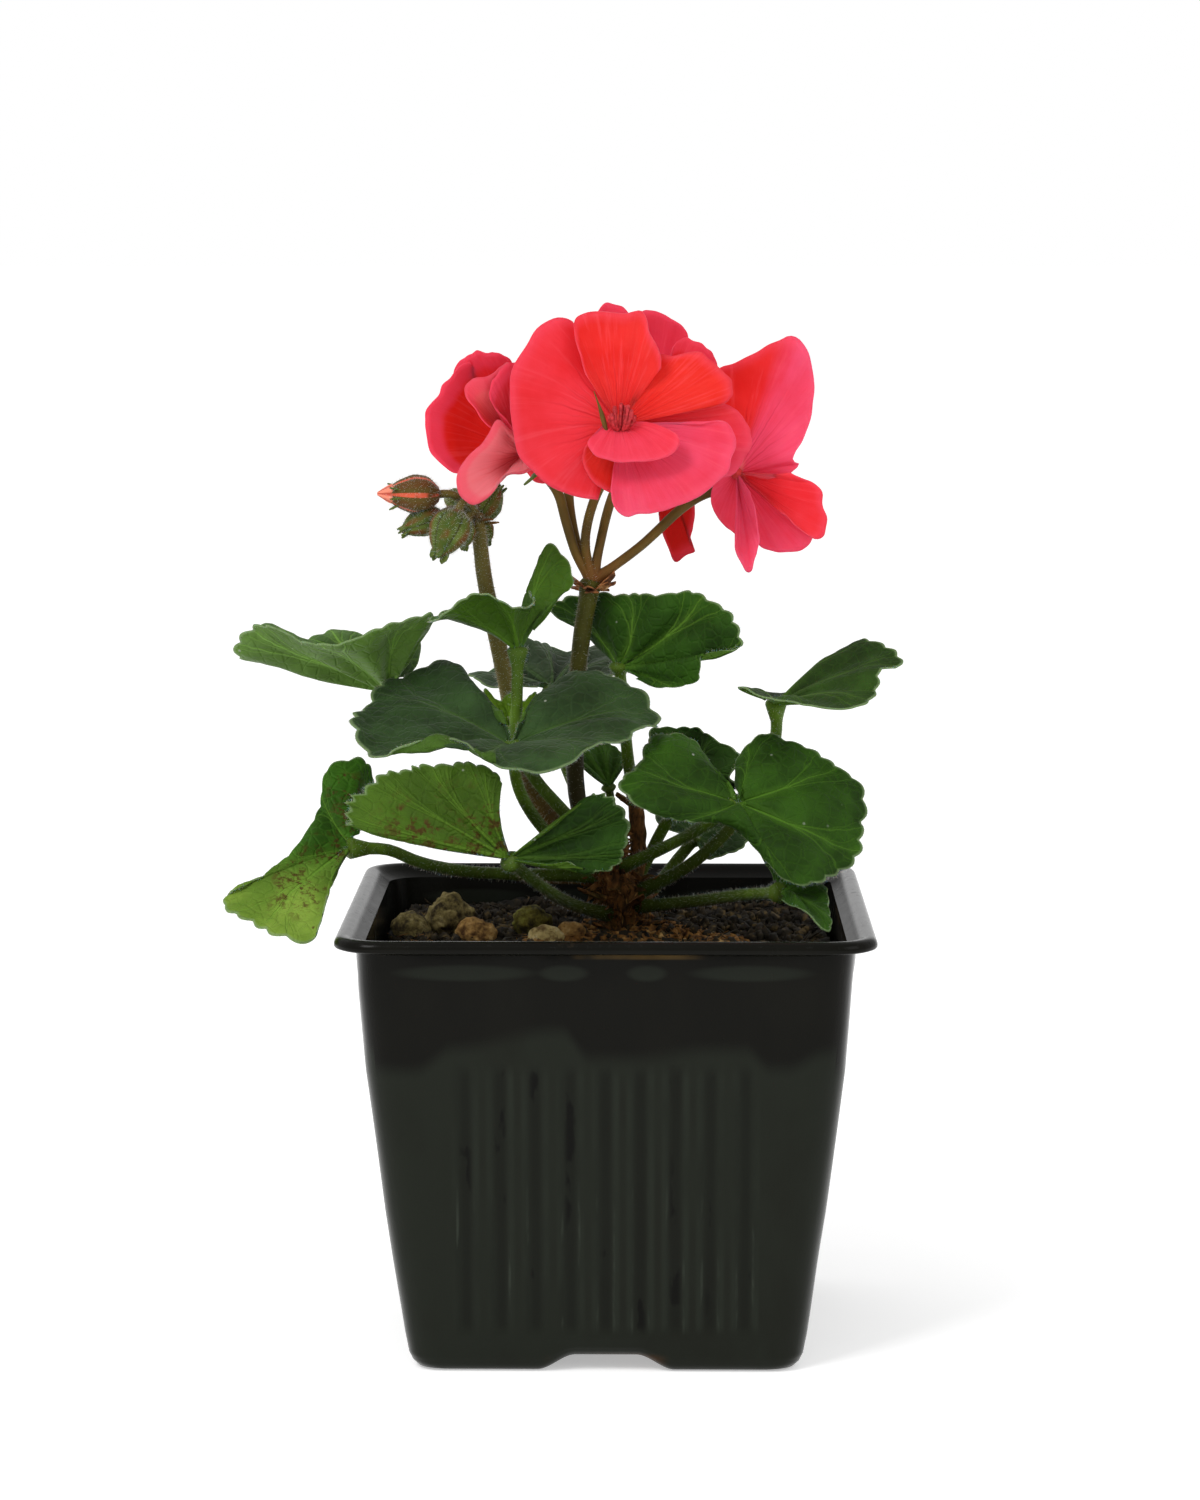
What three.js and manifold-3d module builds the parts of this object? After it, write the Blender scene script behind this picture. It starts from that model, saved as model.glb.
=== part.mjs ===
// A zonal geranium in bloom, in a square nursery pot.
// Millimetres, +Z up, +Y to the back. The origin is the middle of the pot's foot.
import * as THREE from 'three';
import { mergeVertices } from 'three/addons/utils/BufferGeometryUtils.js';
import Module from 'manifold-3d';

const wasm = await Module();
wasm.setup();

// Driving dimensions of the pot
const POT_HEIGHT = 88;
const RIM_WIDTH = 105;
const RIM_CORNER = 9;
const RIM_LIP = 2.4;
const WALL = 1.1;
const FLOOR = 1.3;
const FLUTES = 9;
const FLUTE_PITCH = 6.8;
const FLUTE_DEPTH = 0.5;
const FLUTE_TOP = 61;
const FLUTE_FOOT = 7;
const FLUTE_FADE = 2;
const ARCH_WIDTH = 20;
const ARCH_HEIGHT = 3;
const ARCH_DEPTH = 15;
const ARCH_SHOULDER = 3;
const FOOT_REACH = 38;
const DRAIN_SLOT = 6;
const DRAIN_MIDDLE = 32;

// Driving dimensions of the soil and the plant
const SOIL_LEVEL = 78.5;
const CLEARANCE = 0.3;
const LEAF_THICKNESS = 0.85;
const LEAF_RIPPLE = 0.18;
const TOOTH_DEPTH = 0.07;
const PETAL_THICKNESS = 0.75;
const CLAW_SHARE = 0.03;
const CLAW_WIDTH = 0.14;
const PETIOLE_RADIUS = 1.25;
const PEDICEL_RADII = [0.85, 1];
const CROWN_RADII = [5.6, 4];
const SIDE_SHOOT_RADII = [1.9, 1.6];
const STIPULE_WIDTH = 1.5;
const BUD_SHOOT_RADII = [2.3, 1.45];
const BUD_STALK_RADII = [0.75, 0.85];
const BUD_KNOT_RADIUS = 2.1;
const STALK_RADII = [1.7, 1.75];
const KNOT_RADIUS = 2.5;

const vec = (p) => new THREE.Vector3(p[0], p[1], p[2]);

// Seeded draw between 0 and 1, so that every build is alike.
function makeDraw(seed) {
  let state = seed;
  return () => {
    state = (state * 16807) % 2147483647;
    return state / 2147483647;
  };
}

// Closed body from corner points and triangles, turned so that its faces point out.
function makeSolid(points, faces) {
  const volume = faces.reduce((sum, [a, b, c]) => {
    return sum + points[a].dot(points[b].clone().cross(points[c]));
  }, 0);
  const triangles = volume > 0 ? faces : faces.map(([a, b, c]) => [a, c, b]);
  const geometry = new THREE.BufferGeometry();
  const flat = points.flatMap((p) => [p.x, p.y, p.z]);
  geometry.setAttribute('position', new THREE.Float32BufferAttribute(flat, 3));
  geometry.setIndex(triangles.flat());
  const merged = mergeVertices(geometry, 1e-4);
  return new wasm.Manifold(new wasm.Mesh({
    numProp: 3,
    vertProperties: merged.attributes.position.array,
    triVerts: Uint32Array.from(merged.index.array),
  }));
}

// Solid between rings of points that hold the same number of points each, closed at both ends.
function loft(rings) {
  const count = rings[0].length;
  const points = rings.flat();
  const triangles = [];
  for (let k = 0; k + 1 < rings.length; k += 1) {
    for (let i = 0; i < count; i += 1) {
      const a = k * count + i;
      const b = k * count + (i + 1) % count;
      triangles.push([a, b, b + count], [a, b + count, a + count]);
    }
  }
  for (const [start, turned] of [[0, true], [(rings.length - 1) * count, false]]) {
    const middle = new THREE.Vector3();
    for (let i = 0; i < count; i += 1) {
      middle.addScaledVector(points[start + i], 1 / count);
    }
    const hub = points.push(middle) - 1;
    for (let i = 0; i < count; i += 1) {
      const a = start + i;
      const b = start + (i + 1) % count;
      triangles.push(turned ? [b, a, hub] : [a, b, hub]);
    }
  }
  return makeSolid(points, triangles);
}

// Round stem along a smooth path, from the first radius to the last, grown by the same amount all
// over where it stands for the room that a neighbour leaves free.
function stem(path, firstRadius, lastRadius, { sides = 6, steps = path.length + 2, grow = 0 } = {}) {
  const curve = new THREE.CatmullRomCurve3(path.map(vec), false, 'centripetal');
  const frames = curve.computeFrenetFrames(steps, false);
  const rings = [];
  for (let k = 0; k <= steps; k += 1) {
    const middle = curve.getPointAt(k / steps);
    const beyond = { 0: -grow, [steps]: grow }[k] ?? 0;
    middle.addScaledVector(frames.tangents[k], beyond);
    const radius = grow + THREE.MathUtils.lerp(firstRadius, lastRadius, k / steps);
    const ring = [];
    for (let i = 0; i < sides; i += 1) {
      const turn = 2 * Math.PI * i / sides;
      ring.push(middle.clone()
        .addScaledVector(frames.normals[k], radius * Math.cos(turn))
        .addScaledVector(frames.binormals[k], radius * Math.sin(turn)));
    }
    rings.push(ring);
  }
  return loft(rings);
}

// Thin blade that spreads like a fan. place(u, r) gives the point at share u of the way round the
// edge and share r of the way out from the hub; counts holds the number of steps round each ring.
function fanBlade(place, counts, thickness) {
  const points = [place(0.5, 0)];
  const starts = [0];
  counts.forEach((count, ring) => {
    starts.push(points.length);
    for (let j = 0; j <= count; j += 1) {
      points.push(place(j / count, (ring + 1) / counts.length));
    }
  });
  const faces = [];
  for (let j = 0; j < counts[0]; j += 1) {
    faces.push([0, 1 + j, 2 + j]);
  }
  for (let ring = 1; ring < counts.length; ring += 1) {
    const inner = starts[ring];
    const outer = starts[ring + 1];
    let i = 0;
    let j = 0;
    while (i < counts[ring - 1] || j < counts[ring]) {
      const innerShare = (i + 1) / counts[ring - 1];
      const outerShare = (j + 1) / counts[ring];
      if (j < counts[ring] && outerShare <= innerShare + 1e-9) {
        faces.push([inner + i, outer + j, outer + j + 1]);
        j += 1;
      } else {
        faces.push([inner + i, outer + j, inner + i + 1]);
        i += 1;
      }
    }
  }
  const normals = points.map(() => new THREE.Vector3());
  for (const [a, b, c] of faces) {
    const across = points[b].clone().sub(points[a]);
    const along = points[c].clone().sub(points[a]);
    const normal = across.cross(along);
    [a, b, c].forEach((corner) => normals[corner].add(normal));
  }
  const upper = points.map((p, i) => p.clone().addScaledVector(normals[i].normalize(), thickness / 2));
  const lower = points.map((p, i) => p.clone().addScaledVector(normals[i], -thickness / 2));
  const size = points.length;
  const triangles = faces.concat(faces.map(([a, b, c]) => [a + size, c + size, b + size]));
  const edge = [0];
  for (let ring = 1; ring < counts.length; ring += 1) {
    edge.push(starts[ring]);
  }
  for (let j = 0; j <= counts.at(-1); j += 1) {
    edge.push(starts.at(-1) + j);
  }
  for (let ring = counts.length - 1; ring > 0; ring -= 1) {
    edge.push(starts[ring + 1] - 1);
  }
  edge.forEach((a, k) => {
    const b = edge[(k + 1) % edge.length];
    triangles.push([a, a + size, b + size], [a, b + size, b]);
  });
  return makeSolid(upper.concat(lower), triangles);
}

// Round teeth on a leaf's edge, fading out towards the two ends of the edge.
function toothed(u, teeth) {
  const fade = Math.min(1, 12 * u, 12 * (1 - u));
  return 1 - TOOTH_DEPTH * fade * (0.5 - 0.5 * Math.cos(2 * Math.PI * teeth * u));
}

// Leaf blade from its hub to the points of its edge. lift arches the blade between hub and edge. A
// blade that is cut down to its hub has a second lobe with an edge of its own.
function leafBlade({ hub, edge, lift, teeth, lobe }) {
  const centre = vec(hub);
  const rim = new THREE.CatmullRomCurve3(edge.map(vec), false, 'centripetal');
  const arch = vec(lift);
  const place = (u, r) => {
    const reach = r * (r > 0.99 ? toothed(u, teeth) : 1);
    const wave = LEAF_RIPPLE * Math.sin(Math.PI * teeth * u) * r * r;
    return centre.clone()
      .lerp(rim.getPointAt(u), reach)
      .addScaledVector(arch, 4 * r * (1 - r) + wave);
  };
  const counts = [Math.min(8, teeth / 2), Math.min(18, teeth + 2), 2 * teeth];
  const blade = fanBlade(place, counts, LEAF_THICKNESS);
  return lobe ? blade.add(leafBlade({ hub, lift, ...lobe })) : blade;
}

// Petal from its claw to the points of its edge. lift arches it between the two.
function outlinedPetal(base, counts, { edge, lift }) {
  const claw = vec(base);
  const rim = new THREE.CatmullRomCurve3(edge.map(vec), false, 'centripetal');
  const arch = vec(lift);
  const place = (u, r) => claw.clone()
    .lerp(rim.getPointAt(u), r)
    .addScaledVector(arch, 4 * r * (1 - r));
  return fanBlade(place, counts, PETAL_THICKNESS);
}

// Petal that fans out from its claw towards its tip, spread degrees to each side of it. facing is
// the side it shows; cup bends its two sides and curl its tip towards that side, point narrows it.
function petal(base, counts, { tip, facing, spread = 35, cup = 2, curl = 0, wave = 0.4, point = 0.1 }) {
  const foot = vec(base).lerp(vec(tip), CLAW_SHARE);
  const along = vec(tip).sub(foot);
  const across = vec(facing).cross(along).normalize().multiplyScalar(along.length());
  const face = along.clone().cross(across).normalize();
  const place = (u, r) => {
    const turn = THREE.MathUtils.degToRad(spread) * (2 * u - 1);
    const round = Math.pow(1 - Math.abs(2 * u - 1) ** 5, 0.5) * (1 - point * Math.abs(2 * u - 1));
    const reach = r * Math.max(round, CLAW_WIDTH);
    const ripple = wave * Math.sin(6 * Math.PI * u) * r * r;
    const bend = cup * (Math.sin(turn) * reach) ** 2 / Math.sin(THREE.MathUtils.degToRad(spread));
    return foot.clone()
      .addScaledVector(along, Math.cos(turn) * reach)
      .addScaledVector(across, Math.sin(turn) * reach)
      .addScaledVector(face, bend + curl * reach * reach + ripple);
  };
  return fanBlade(place, counts, PETAL_THICKNESS);
}

// Slim four-sided scale with a sharp tip, for sepals, bracts and stipules.
function scale(root, tip, width, grow = 0) {
  const start = vec(root);
  const along = vec(tip).sub(start);
  const flat = new THREE.Vector3(along.y, -along.x, 0.01).normalize();
  const deep = along.clone().cross(flat).normalize();
  const ring = (share, half, thick) => [[half, 0], [0, thick], [-half, 0], [0, -thick]]
    .map(([i, j]) => start.clone()
      .addScaledVector(along, share)
      .addScaledVector(flat, i)
      .addScaledVector(deep, j));
  const beyond = grow / along.length();
  return loft([
    ring(-beyond, 0.6 * width + grow, 0.45 + grow),
    ring(0.45, width + grow, 0.5 + grow),
    ring(1 + beyond, 0.15 + grow, 0.15 + grow),
  ]);
}

// Egg-shaped bud between two points, broad near its base, with ribs round it.
function ovoid(base, tip, radius, { ribs = 5, relief = 0.1, sides = 10 } = {}) {
  const start = vec(base);
  const axis = vec(tip).sub(start);
  const upright = Math.abs(axis.z) > Math.abs(axis.x);
  const helper = upright ? new THREE.Vector3(1, 0, 0) : new THREE.Vector3(0, 0, 1);
  const across = axis.clone().cross(helper).normalize();
  const third = axis.clone().cross(across).normalize();
  const ribbed = [[0, 0.35], [0.18, 0.9], [0.45, 1], [0.75, 0.66], [1, 0.12]];
  const smooth = [[0, 0.4], [0.3, 1], [0.72, 0.72], [1, 0.12]];
  const rings = (relief > 0 ? ribbed : smooth).map(([share, girth]) => {
    const ring = [];
    for (let i = 0; i < sides; i += 1) {
      const turn = 2 * Math.PI * i / sides;
      const reach = girth * radius * (1 + relief * Math.cos(ribs * turn));
      ring.push(start.clone()
        .addScaledVector(axis, share)
        .addScaledVector(across, reach * Math.cos(turn))
        .addScaledVector(third, reach * Math.sin(turn)));
    }
    return ring;
  });
  return loft(rings);
}

// Ring of pointed lobes round the end of a stem, for sepals, bracts and stamens: the lobes leave the
// stem at its end, reach out by reach and stand rise further along the heading.
function lobes({ end, heading, count, reach, rise, notch, thickness = 0.7 }) {
  const ahead = vec(heading).normalize();
  const across = ahead.clone().cross(new THREE.Vector3(0, 0.3, 1)).normalize();
  const third = ahead.clone().cross(across).normalize();
  const ring = (tipReach, notchReach, tipRise, notchRise) => {
    const points = [];
    for (let k = 0; k < 2 * count; k += 1) {
      const turn = Math.PI * k / count;
      const out = k % 2 === 0 ? tipReach : notchReach;
      points.push(vec(end)
        .addScaledVector(ahead, k % 2 === 0 ? tipRise : notchRise)
        .addScaledVector(across, out * Math.cos(turn))
        .addScaledVector(third, out * Math.sin(turn)));
    }
    return points;
  };
  return loft([
    ring(0.5, 0.5, -1.4, -1.4),
    ring(notch * 1.1, notch, 0, 0),
    ring(reach, notch + 0.1, rise, 0.2),
    ring(reach - 0.1, notch, rise + thickness, thickness),
    ring(0.5, 0.5, thickness, thickness),
  ]);
}

const join = (solids) => solids.reduce((whole, next) => whole.add(next));

const group = new THREE.Group();

function addNode(name, solid, colour, roughness) {
  const mesh = solid.getMesh();
  const geometry = new THREE.BufferGeometry();
  geometry.setAttribute('position', new THREE.BufferAttribute(mesh.vertProperties, 3));
  geometry.setIndex(new THREE.BufferAttribute(mesh.triVerts, 1));
  const node = new THREE.Mesh(geometry, new THREE.MeshStandardMaterial({
    color: colour, roughness, metalness: 0,
  }));
  node.name = name;
  group.add(node);
}

// Square outline with round corners at one height. The middle of each side holds the flute points.
function squareRing(half, z, corner, flute = 0) {
  const ring = [];
  const reach = half - corner;
  for (let side = 0; side < 4; side += 1) {
    const turn = side * Math.PI / 2;
    const local = [];
    for (let k = -FLUTES; k <= FLUTES; k += 1) {
      const groove = Math.abs(k) % 2 === 0 && Math.abs(k) < FLUTES ? flute : 0;
      local.push([half - groove, k * FLUTE_PITCH / 2]);
    }
    for (let k = 0; k <= 3; k += 1) {
      const bend = k / 3 * Math.PI / 2;
      local.push([reach + corner * Math.cos(bend), reach + corner * Math.sin(bend)]);
    }
    for (const [out, across] of local) {
      ring.push(new THREE.Vector3(
        out * Math.cos(turn) - across * Math.sin(turn),
        out * Math.sin(turn) + across * Math.cos(turn), z));
    }
  }
  return ring;
}

// Square outline with round corners and no flute points.
function plainRing(half, z, corner) {
  const ring = [];
  const reach = half - corner;
  for (let k = 0; k < 16; k += 1) {
    const side = Math.floor(k / 4);
    const bend = (side + (k % 4) / 3) * Math.PI / 2;
    const middle = (side + 0.5) * Math.PI / 2;
    ring.push(new THREE.Vector3(
      Math.SQRT2 * reach * Math.cos(middle) + corner * Math.cos(bend),
      Math.SQRT2 * reach * Math.sin(middle) + corner * Math.sin(bend), z));
  }
  return ring;
}

// Round-topped block that points in from the middle of a side, for the arches under the foot.
function archBlock(side, grow, top) {
  const turn = side * Math.PI / 2;
  const half = ARCH_WIDTH / 2 + grow;
  const outline = [[-half - ARCH_SHOULDER, -1], [-half, top * 0.55], [-half + ARCH_SHOULDER, top],
    [half - ARCH_SHOULDER, top], [half, top * 0.55], [half + ARCH_SHOULDER, -1]];
  const ends = [FOOT_REACH + 7, FOOT_REACH - ARCH_DEPTH - grow];
  return loft(ends.map((out) => outline.map(([across, z]) => new THREE.Vector3(
    out * Math.cos(turn) - across * Math.sin(turn),
    out * Math.sin(turn) + across * Math.cos(turn), z)).reverse()));
}

// Height, half width and corner radius of the body outside, from the foot to under the rim: the
// sides bow out a little.
const WAIST = 32;
const BODY = [[0, 36.6, 4], [1.4, FOOT_REACH, 5], [FLUTE_FOOT, 38.9, 7], [WAIST, 42.2, 8],
  [FLUTE_TOP, 45.6, 8], [POT_HEIGHT - RIM_LIP - 0.8, 48, 8]];

function bodyHalf(z) {
  const k = Math.max(1, BODY.findIndex(([level]) => level >= z));
  const [low, lowHalf] = BODY[k - 1];
  const [high, highHalf] = BODY[k];
  return THREE.MathUtils.mapLinear(z, low, high, lowHalf, highHalf);
}

// The rim outside and the hollow, in the same way.
const UNDER_RIM = POT_HEIGHT - RIM_LIP;
const RIM_HALF = RIM_WIDTH / 2;
const RIM = [[UNDER_RIM - 1.6, 46.5, 8], [UNDER_RIM - 0.4, 48.6, 8], [UNDER_RIM, RIM_HALF - 0.6, RIM_CORNER],
  [UNDER_RIM + 0.5, RIM_HALF, RIM_CORNER], [POT_HEIGHT - 1, RIM_HALF - 0.1, RIM_CORNER],
  [POT_HEIGHT - 0.2, RIM_HALF - 1.4, RIM_CORNER - 1], [POT_HEIGHT, RIM_HALF - 3, RIM_CORNER - 1]];
const HOLLOW = [[FLOOR, bodyHalf(FLOOR) - WALL - 0.6, 4], [WAIST, bodyHalf(WAIST) - WALL - FLUTE_DEPTH, 6],
  [FLUTE_TOP, bodyHalf(FLUTE_TOP) - WALL, 7], [POT_HEIGHT - 2.5, 47, 7], [POT_HEIGHT + 1, 48, 7]];

function makePot() {
  const rings = [];
  for (const [z, half, corner] of BODY) {
    const fluted = z > FLUTE_FOOT && z < FLUTE_TOP;
    if (z === FLUTE_TOP) {
      const end = z - FLUTE_FADE;
      rings.push(squareRing(bodyHalf(end), end, corner, FLUTE_DEPTH));
    }
    rings.push(squareRing(half, z, corner, fluted ? FLUTE_DEPTH : 0));
    if (z === FLUTE_FOOT) {
      const start = z + FLUTE_FADE;
      rings.push(squareRing(bodyHalf(start), start, corner, FLUTE_DEPTH));
    }
  }
  const body = loft(rings);
  const rim = loft(RIM.map(([z, half, corner]) => plainRing(half, z, corner)));
  let inside = loft(HOLLOW.map(([z, half, corner]) => plainRing(half, z, corner)));
  let pot = body.add(rim);
  for (let side = 0; side < 4; side += 1) {
    inside = inside.subtract(archBlock(side, FLOOR, ARCH_HEIGHT + FLOOR));
  }
  pot = pot.subtract(inside);
  for (let side = 0; side < 4; side += 1) {
    pot = pot.subtract(archBlock(side, 0, ARCH_HEIGHT));
    pot = pot.subtract(drainSlot(side));
  }
  return pot;
}

// Slot through the top of an arch, where the pot drains.
function drainSlot(side) {
  const turn = side * Math.PI / 2;
  const corners = [[-1, -1], [1, -1], [1, 1], [-1, 1]];
  return loft([ARCH_HEIGHT - 1, ARCH_HEIGHT + FLOOR + 1].map((z) => corners.map(([i, j]) => {
    const out = DRAIN_MIDDLE + i * DRAIN_SLOT / 2;
    const across = j * DRAIN_SLOT / 2;
    return new THREE.Vector3(
      out * Math.cos(turn) - across * Math.sin(turn),
      out * Math.sin(turn) + across * Math.cos(turn), z);
  })));
}

// Height of the soil: low waves, a heap round the crown and a little higher at the back wall.
function soilHeight(x, y) {
  const waves = 0.7 * Math.sin(0.31 * x + 0.5) * Math.cos(0.27 * y) + 0.5 * Math.sin(0.53 * y + 0.17 * x);
  const heap = 1.6 * Math.exp(-((x - 4) ** 2 + (y - 15) ** 2) / 160);
  return SOIL_LEVEL + waves + heap + 0.03 * y;
}

function makeSoil() {
  const steps = 9;
  const half = bodyHalf(SOIL_LEVEL) - WALL - CLEARANCE - 0.8;
  const footHalf = bodyHalf(FLOOR) - WALL - CLEARANCE - 1.2;
  const points = [];
  const triangles = [];
  // Grid squeezed into the pot's rounded square
  const spot = (i, j, reach, z) => {
    const x = 2 * i / steps - 1;
    const y = 2 * j / steps - 1;
    const squeeze = 1 - 0.07 * (x * y) ** 2;
    return new THREE.Vector3(x * reach * squeeze, y * reach * squeeze, z);
  };
  for (let j = 0; j <= steps; j += 1) {
    for (let i = 0; i <= steps; i += 1) {
      const top = spot(i, j, half, 0);
      top.z = soilHeight(top.x, top.y);
      points.push(top);
    }
  }
  const at = (i, j) => j * (steps + 1) + i;
  for (let j = 0; j < steps; j += 1) {
    for (let i = 0; i < steps; i += 1) {
      triangles.push([at(i, j), at(i + 1, j), at(i + 1, j + 1)], [at(i, j), at(i + 1, j + 1), at(i, j + 1)]);
    }
  }
  const round = [];
  for (let k = 0; k < steps; k += 1) {
    round.push([k, 0]);
  }
  for (let k = 0; k < steps; k += 1) {
    round.push([steps, k]);
  }
  for (let k = steps; k > 0; k -= 1) {
    round.push([k, steps]);
  }
  for (let k = steps; k > 0; k -= 1) {
    round.push([0, k]);
  }
  const wallTop = round.map(([i, j]) => at(i, j));
  const foot = round.map(([i, j]) => points.push(spot(i, j, footHalf, FLOOR + CLEARANCE)) - 1);
  const middle = points.push(new THREE.Vector3(0, 0, FLOOR + CLEARANCE)) - 1;
  round.forEach((_, k) => {
    const next = (k + 1) % round.length;
    triangles.push([wallTop[k], foot[k], foot[next]], [wallTop[k], foot[next], wallTop[next]]);
    triangles.push([foot[k], middle, foot[next]]);
  });
  let soil = makeSolid(points, triangles);
  for (let side = 0; side < 4; side += 1) {
    soil = soil.subtract(archBlock(side, FLOOR + CLEARANCE, ARCH_HEIGHT + FLOOR + CLEARANCE));
  }
  return soil;
}

// Bark lumps and stones on the soil: place, half sizes and turn.
const STONES = [
  { name: 'stone_1', at: [-40.5, 8, 80.5], half: [3.6, 3.2, 3], colour: 0x5a4a30 },
  { name: 'stone_2', at: [-33, 14, 82], half: [5.2, 4.2, 3.9], colour: 0x6a5838 },
  { name: 'stone_3', at: [-27, 5, 80.4], half: [3.8, 2.2, 2.4], colour: 0xa5683c },
  { name: 'stone_4', at: [-15.8, 12, 81.4], half: [3.6, 3, 3.2], colour: 0x54522a },
  { name: 'stone_5', at: [-12.6, 4, 79.6], half: [3.2, 2.2, 2], colour: 0xb08a58 },
  { name: 'stone_6', at: [-7.5, 6, 80.6], half: [2.6, 1.8, 1.7], colour: 0x935436 },
];

function lump({ at, half }, grow, seed) {
  const draw = makeDraw(seed);
  const sphere = new THREE.IcosahedronGeometry(1, 1);
  const geometry = sphere.deleteAttribute('normal').deleteAttribute('uv');
  const merged = mergeVertices(geometry, 1e-4);
  const position = merged.attributes.position;
  const points = [];
  for (let i = 0; i < position.count; i += 1) {
    const bump = 1 + 0.22 * (draw() - 0.5);
    points.push(new THREE.Vector3(
      at[0] + position.getX(i) * (half[0] * bump + grow),
      at[1] + position.getY(i) * (half[1] * bump + grow),
      at[2] + position.getZ(i) * (half[2] * bump + grow)));
  }
  const triangles = [];
  for (let i = 0; i < merged.index.count; i += 3) {
    triangles.push([0, 1, 2].map((k) => merged.index.getX(i + k)));
  }
  return makeSolid(points, triangles);
}

// Woody crown: leaning stem with a short side shoot, both dressed with pointed stipules.
const CROWN_PATH = [[3.5, 16, 70], [3.5, 16, 80], [2, 15.5, 88], [-1, 14, 95], [-3, 13, 100]];
const SIDE_SHOOT = [[4, 17, 86], [6, 18, 93], [6, 18, 100], [5.5, 17, 107]];
const STIPULES = [
  [[0, 12, 86], [-6, 8, 90]], [[4, 12, 85], [7, 6, 89]], [[7, 14, 81], [11.5, 9, 83]],
  [[1, 12, 80], [-3, 7, 83]], [[6, 18, 105], [9.5, 15, 110]], [[5.5, 17, 105], [2, 13.5, 109]],
  [[-1, 16, 95], [-5, 20, 101]], [[5, 19, 83], [9, 24, 86]], [[6, 16, 88], [10.5, 12.5, 92]],
];

function crownSolid(grow) {
  const trunk = stem(CROWN_PATH, ...CROWN_RADII, { sides: 8, steps: 5, grow });
  const shoot = stem(SIDE_SHOOT, ...SIDE_SHOOT_RADII, { steps: 5, grow });
  const scales = STIPULES.map(([root, tip]) => scale(root, tip, STIPULE_WIDTH, grow));
  return join([trunk, shoot, ...scales]);
}

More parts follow.
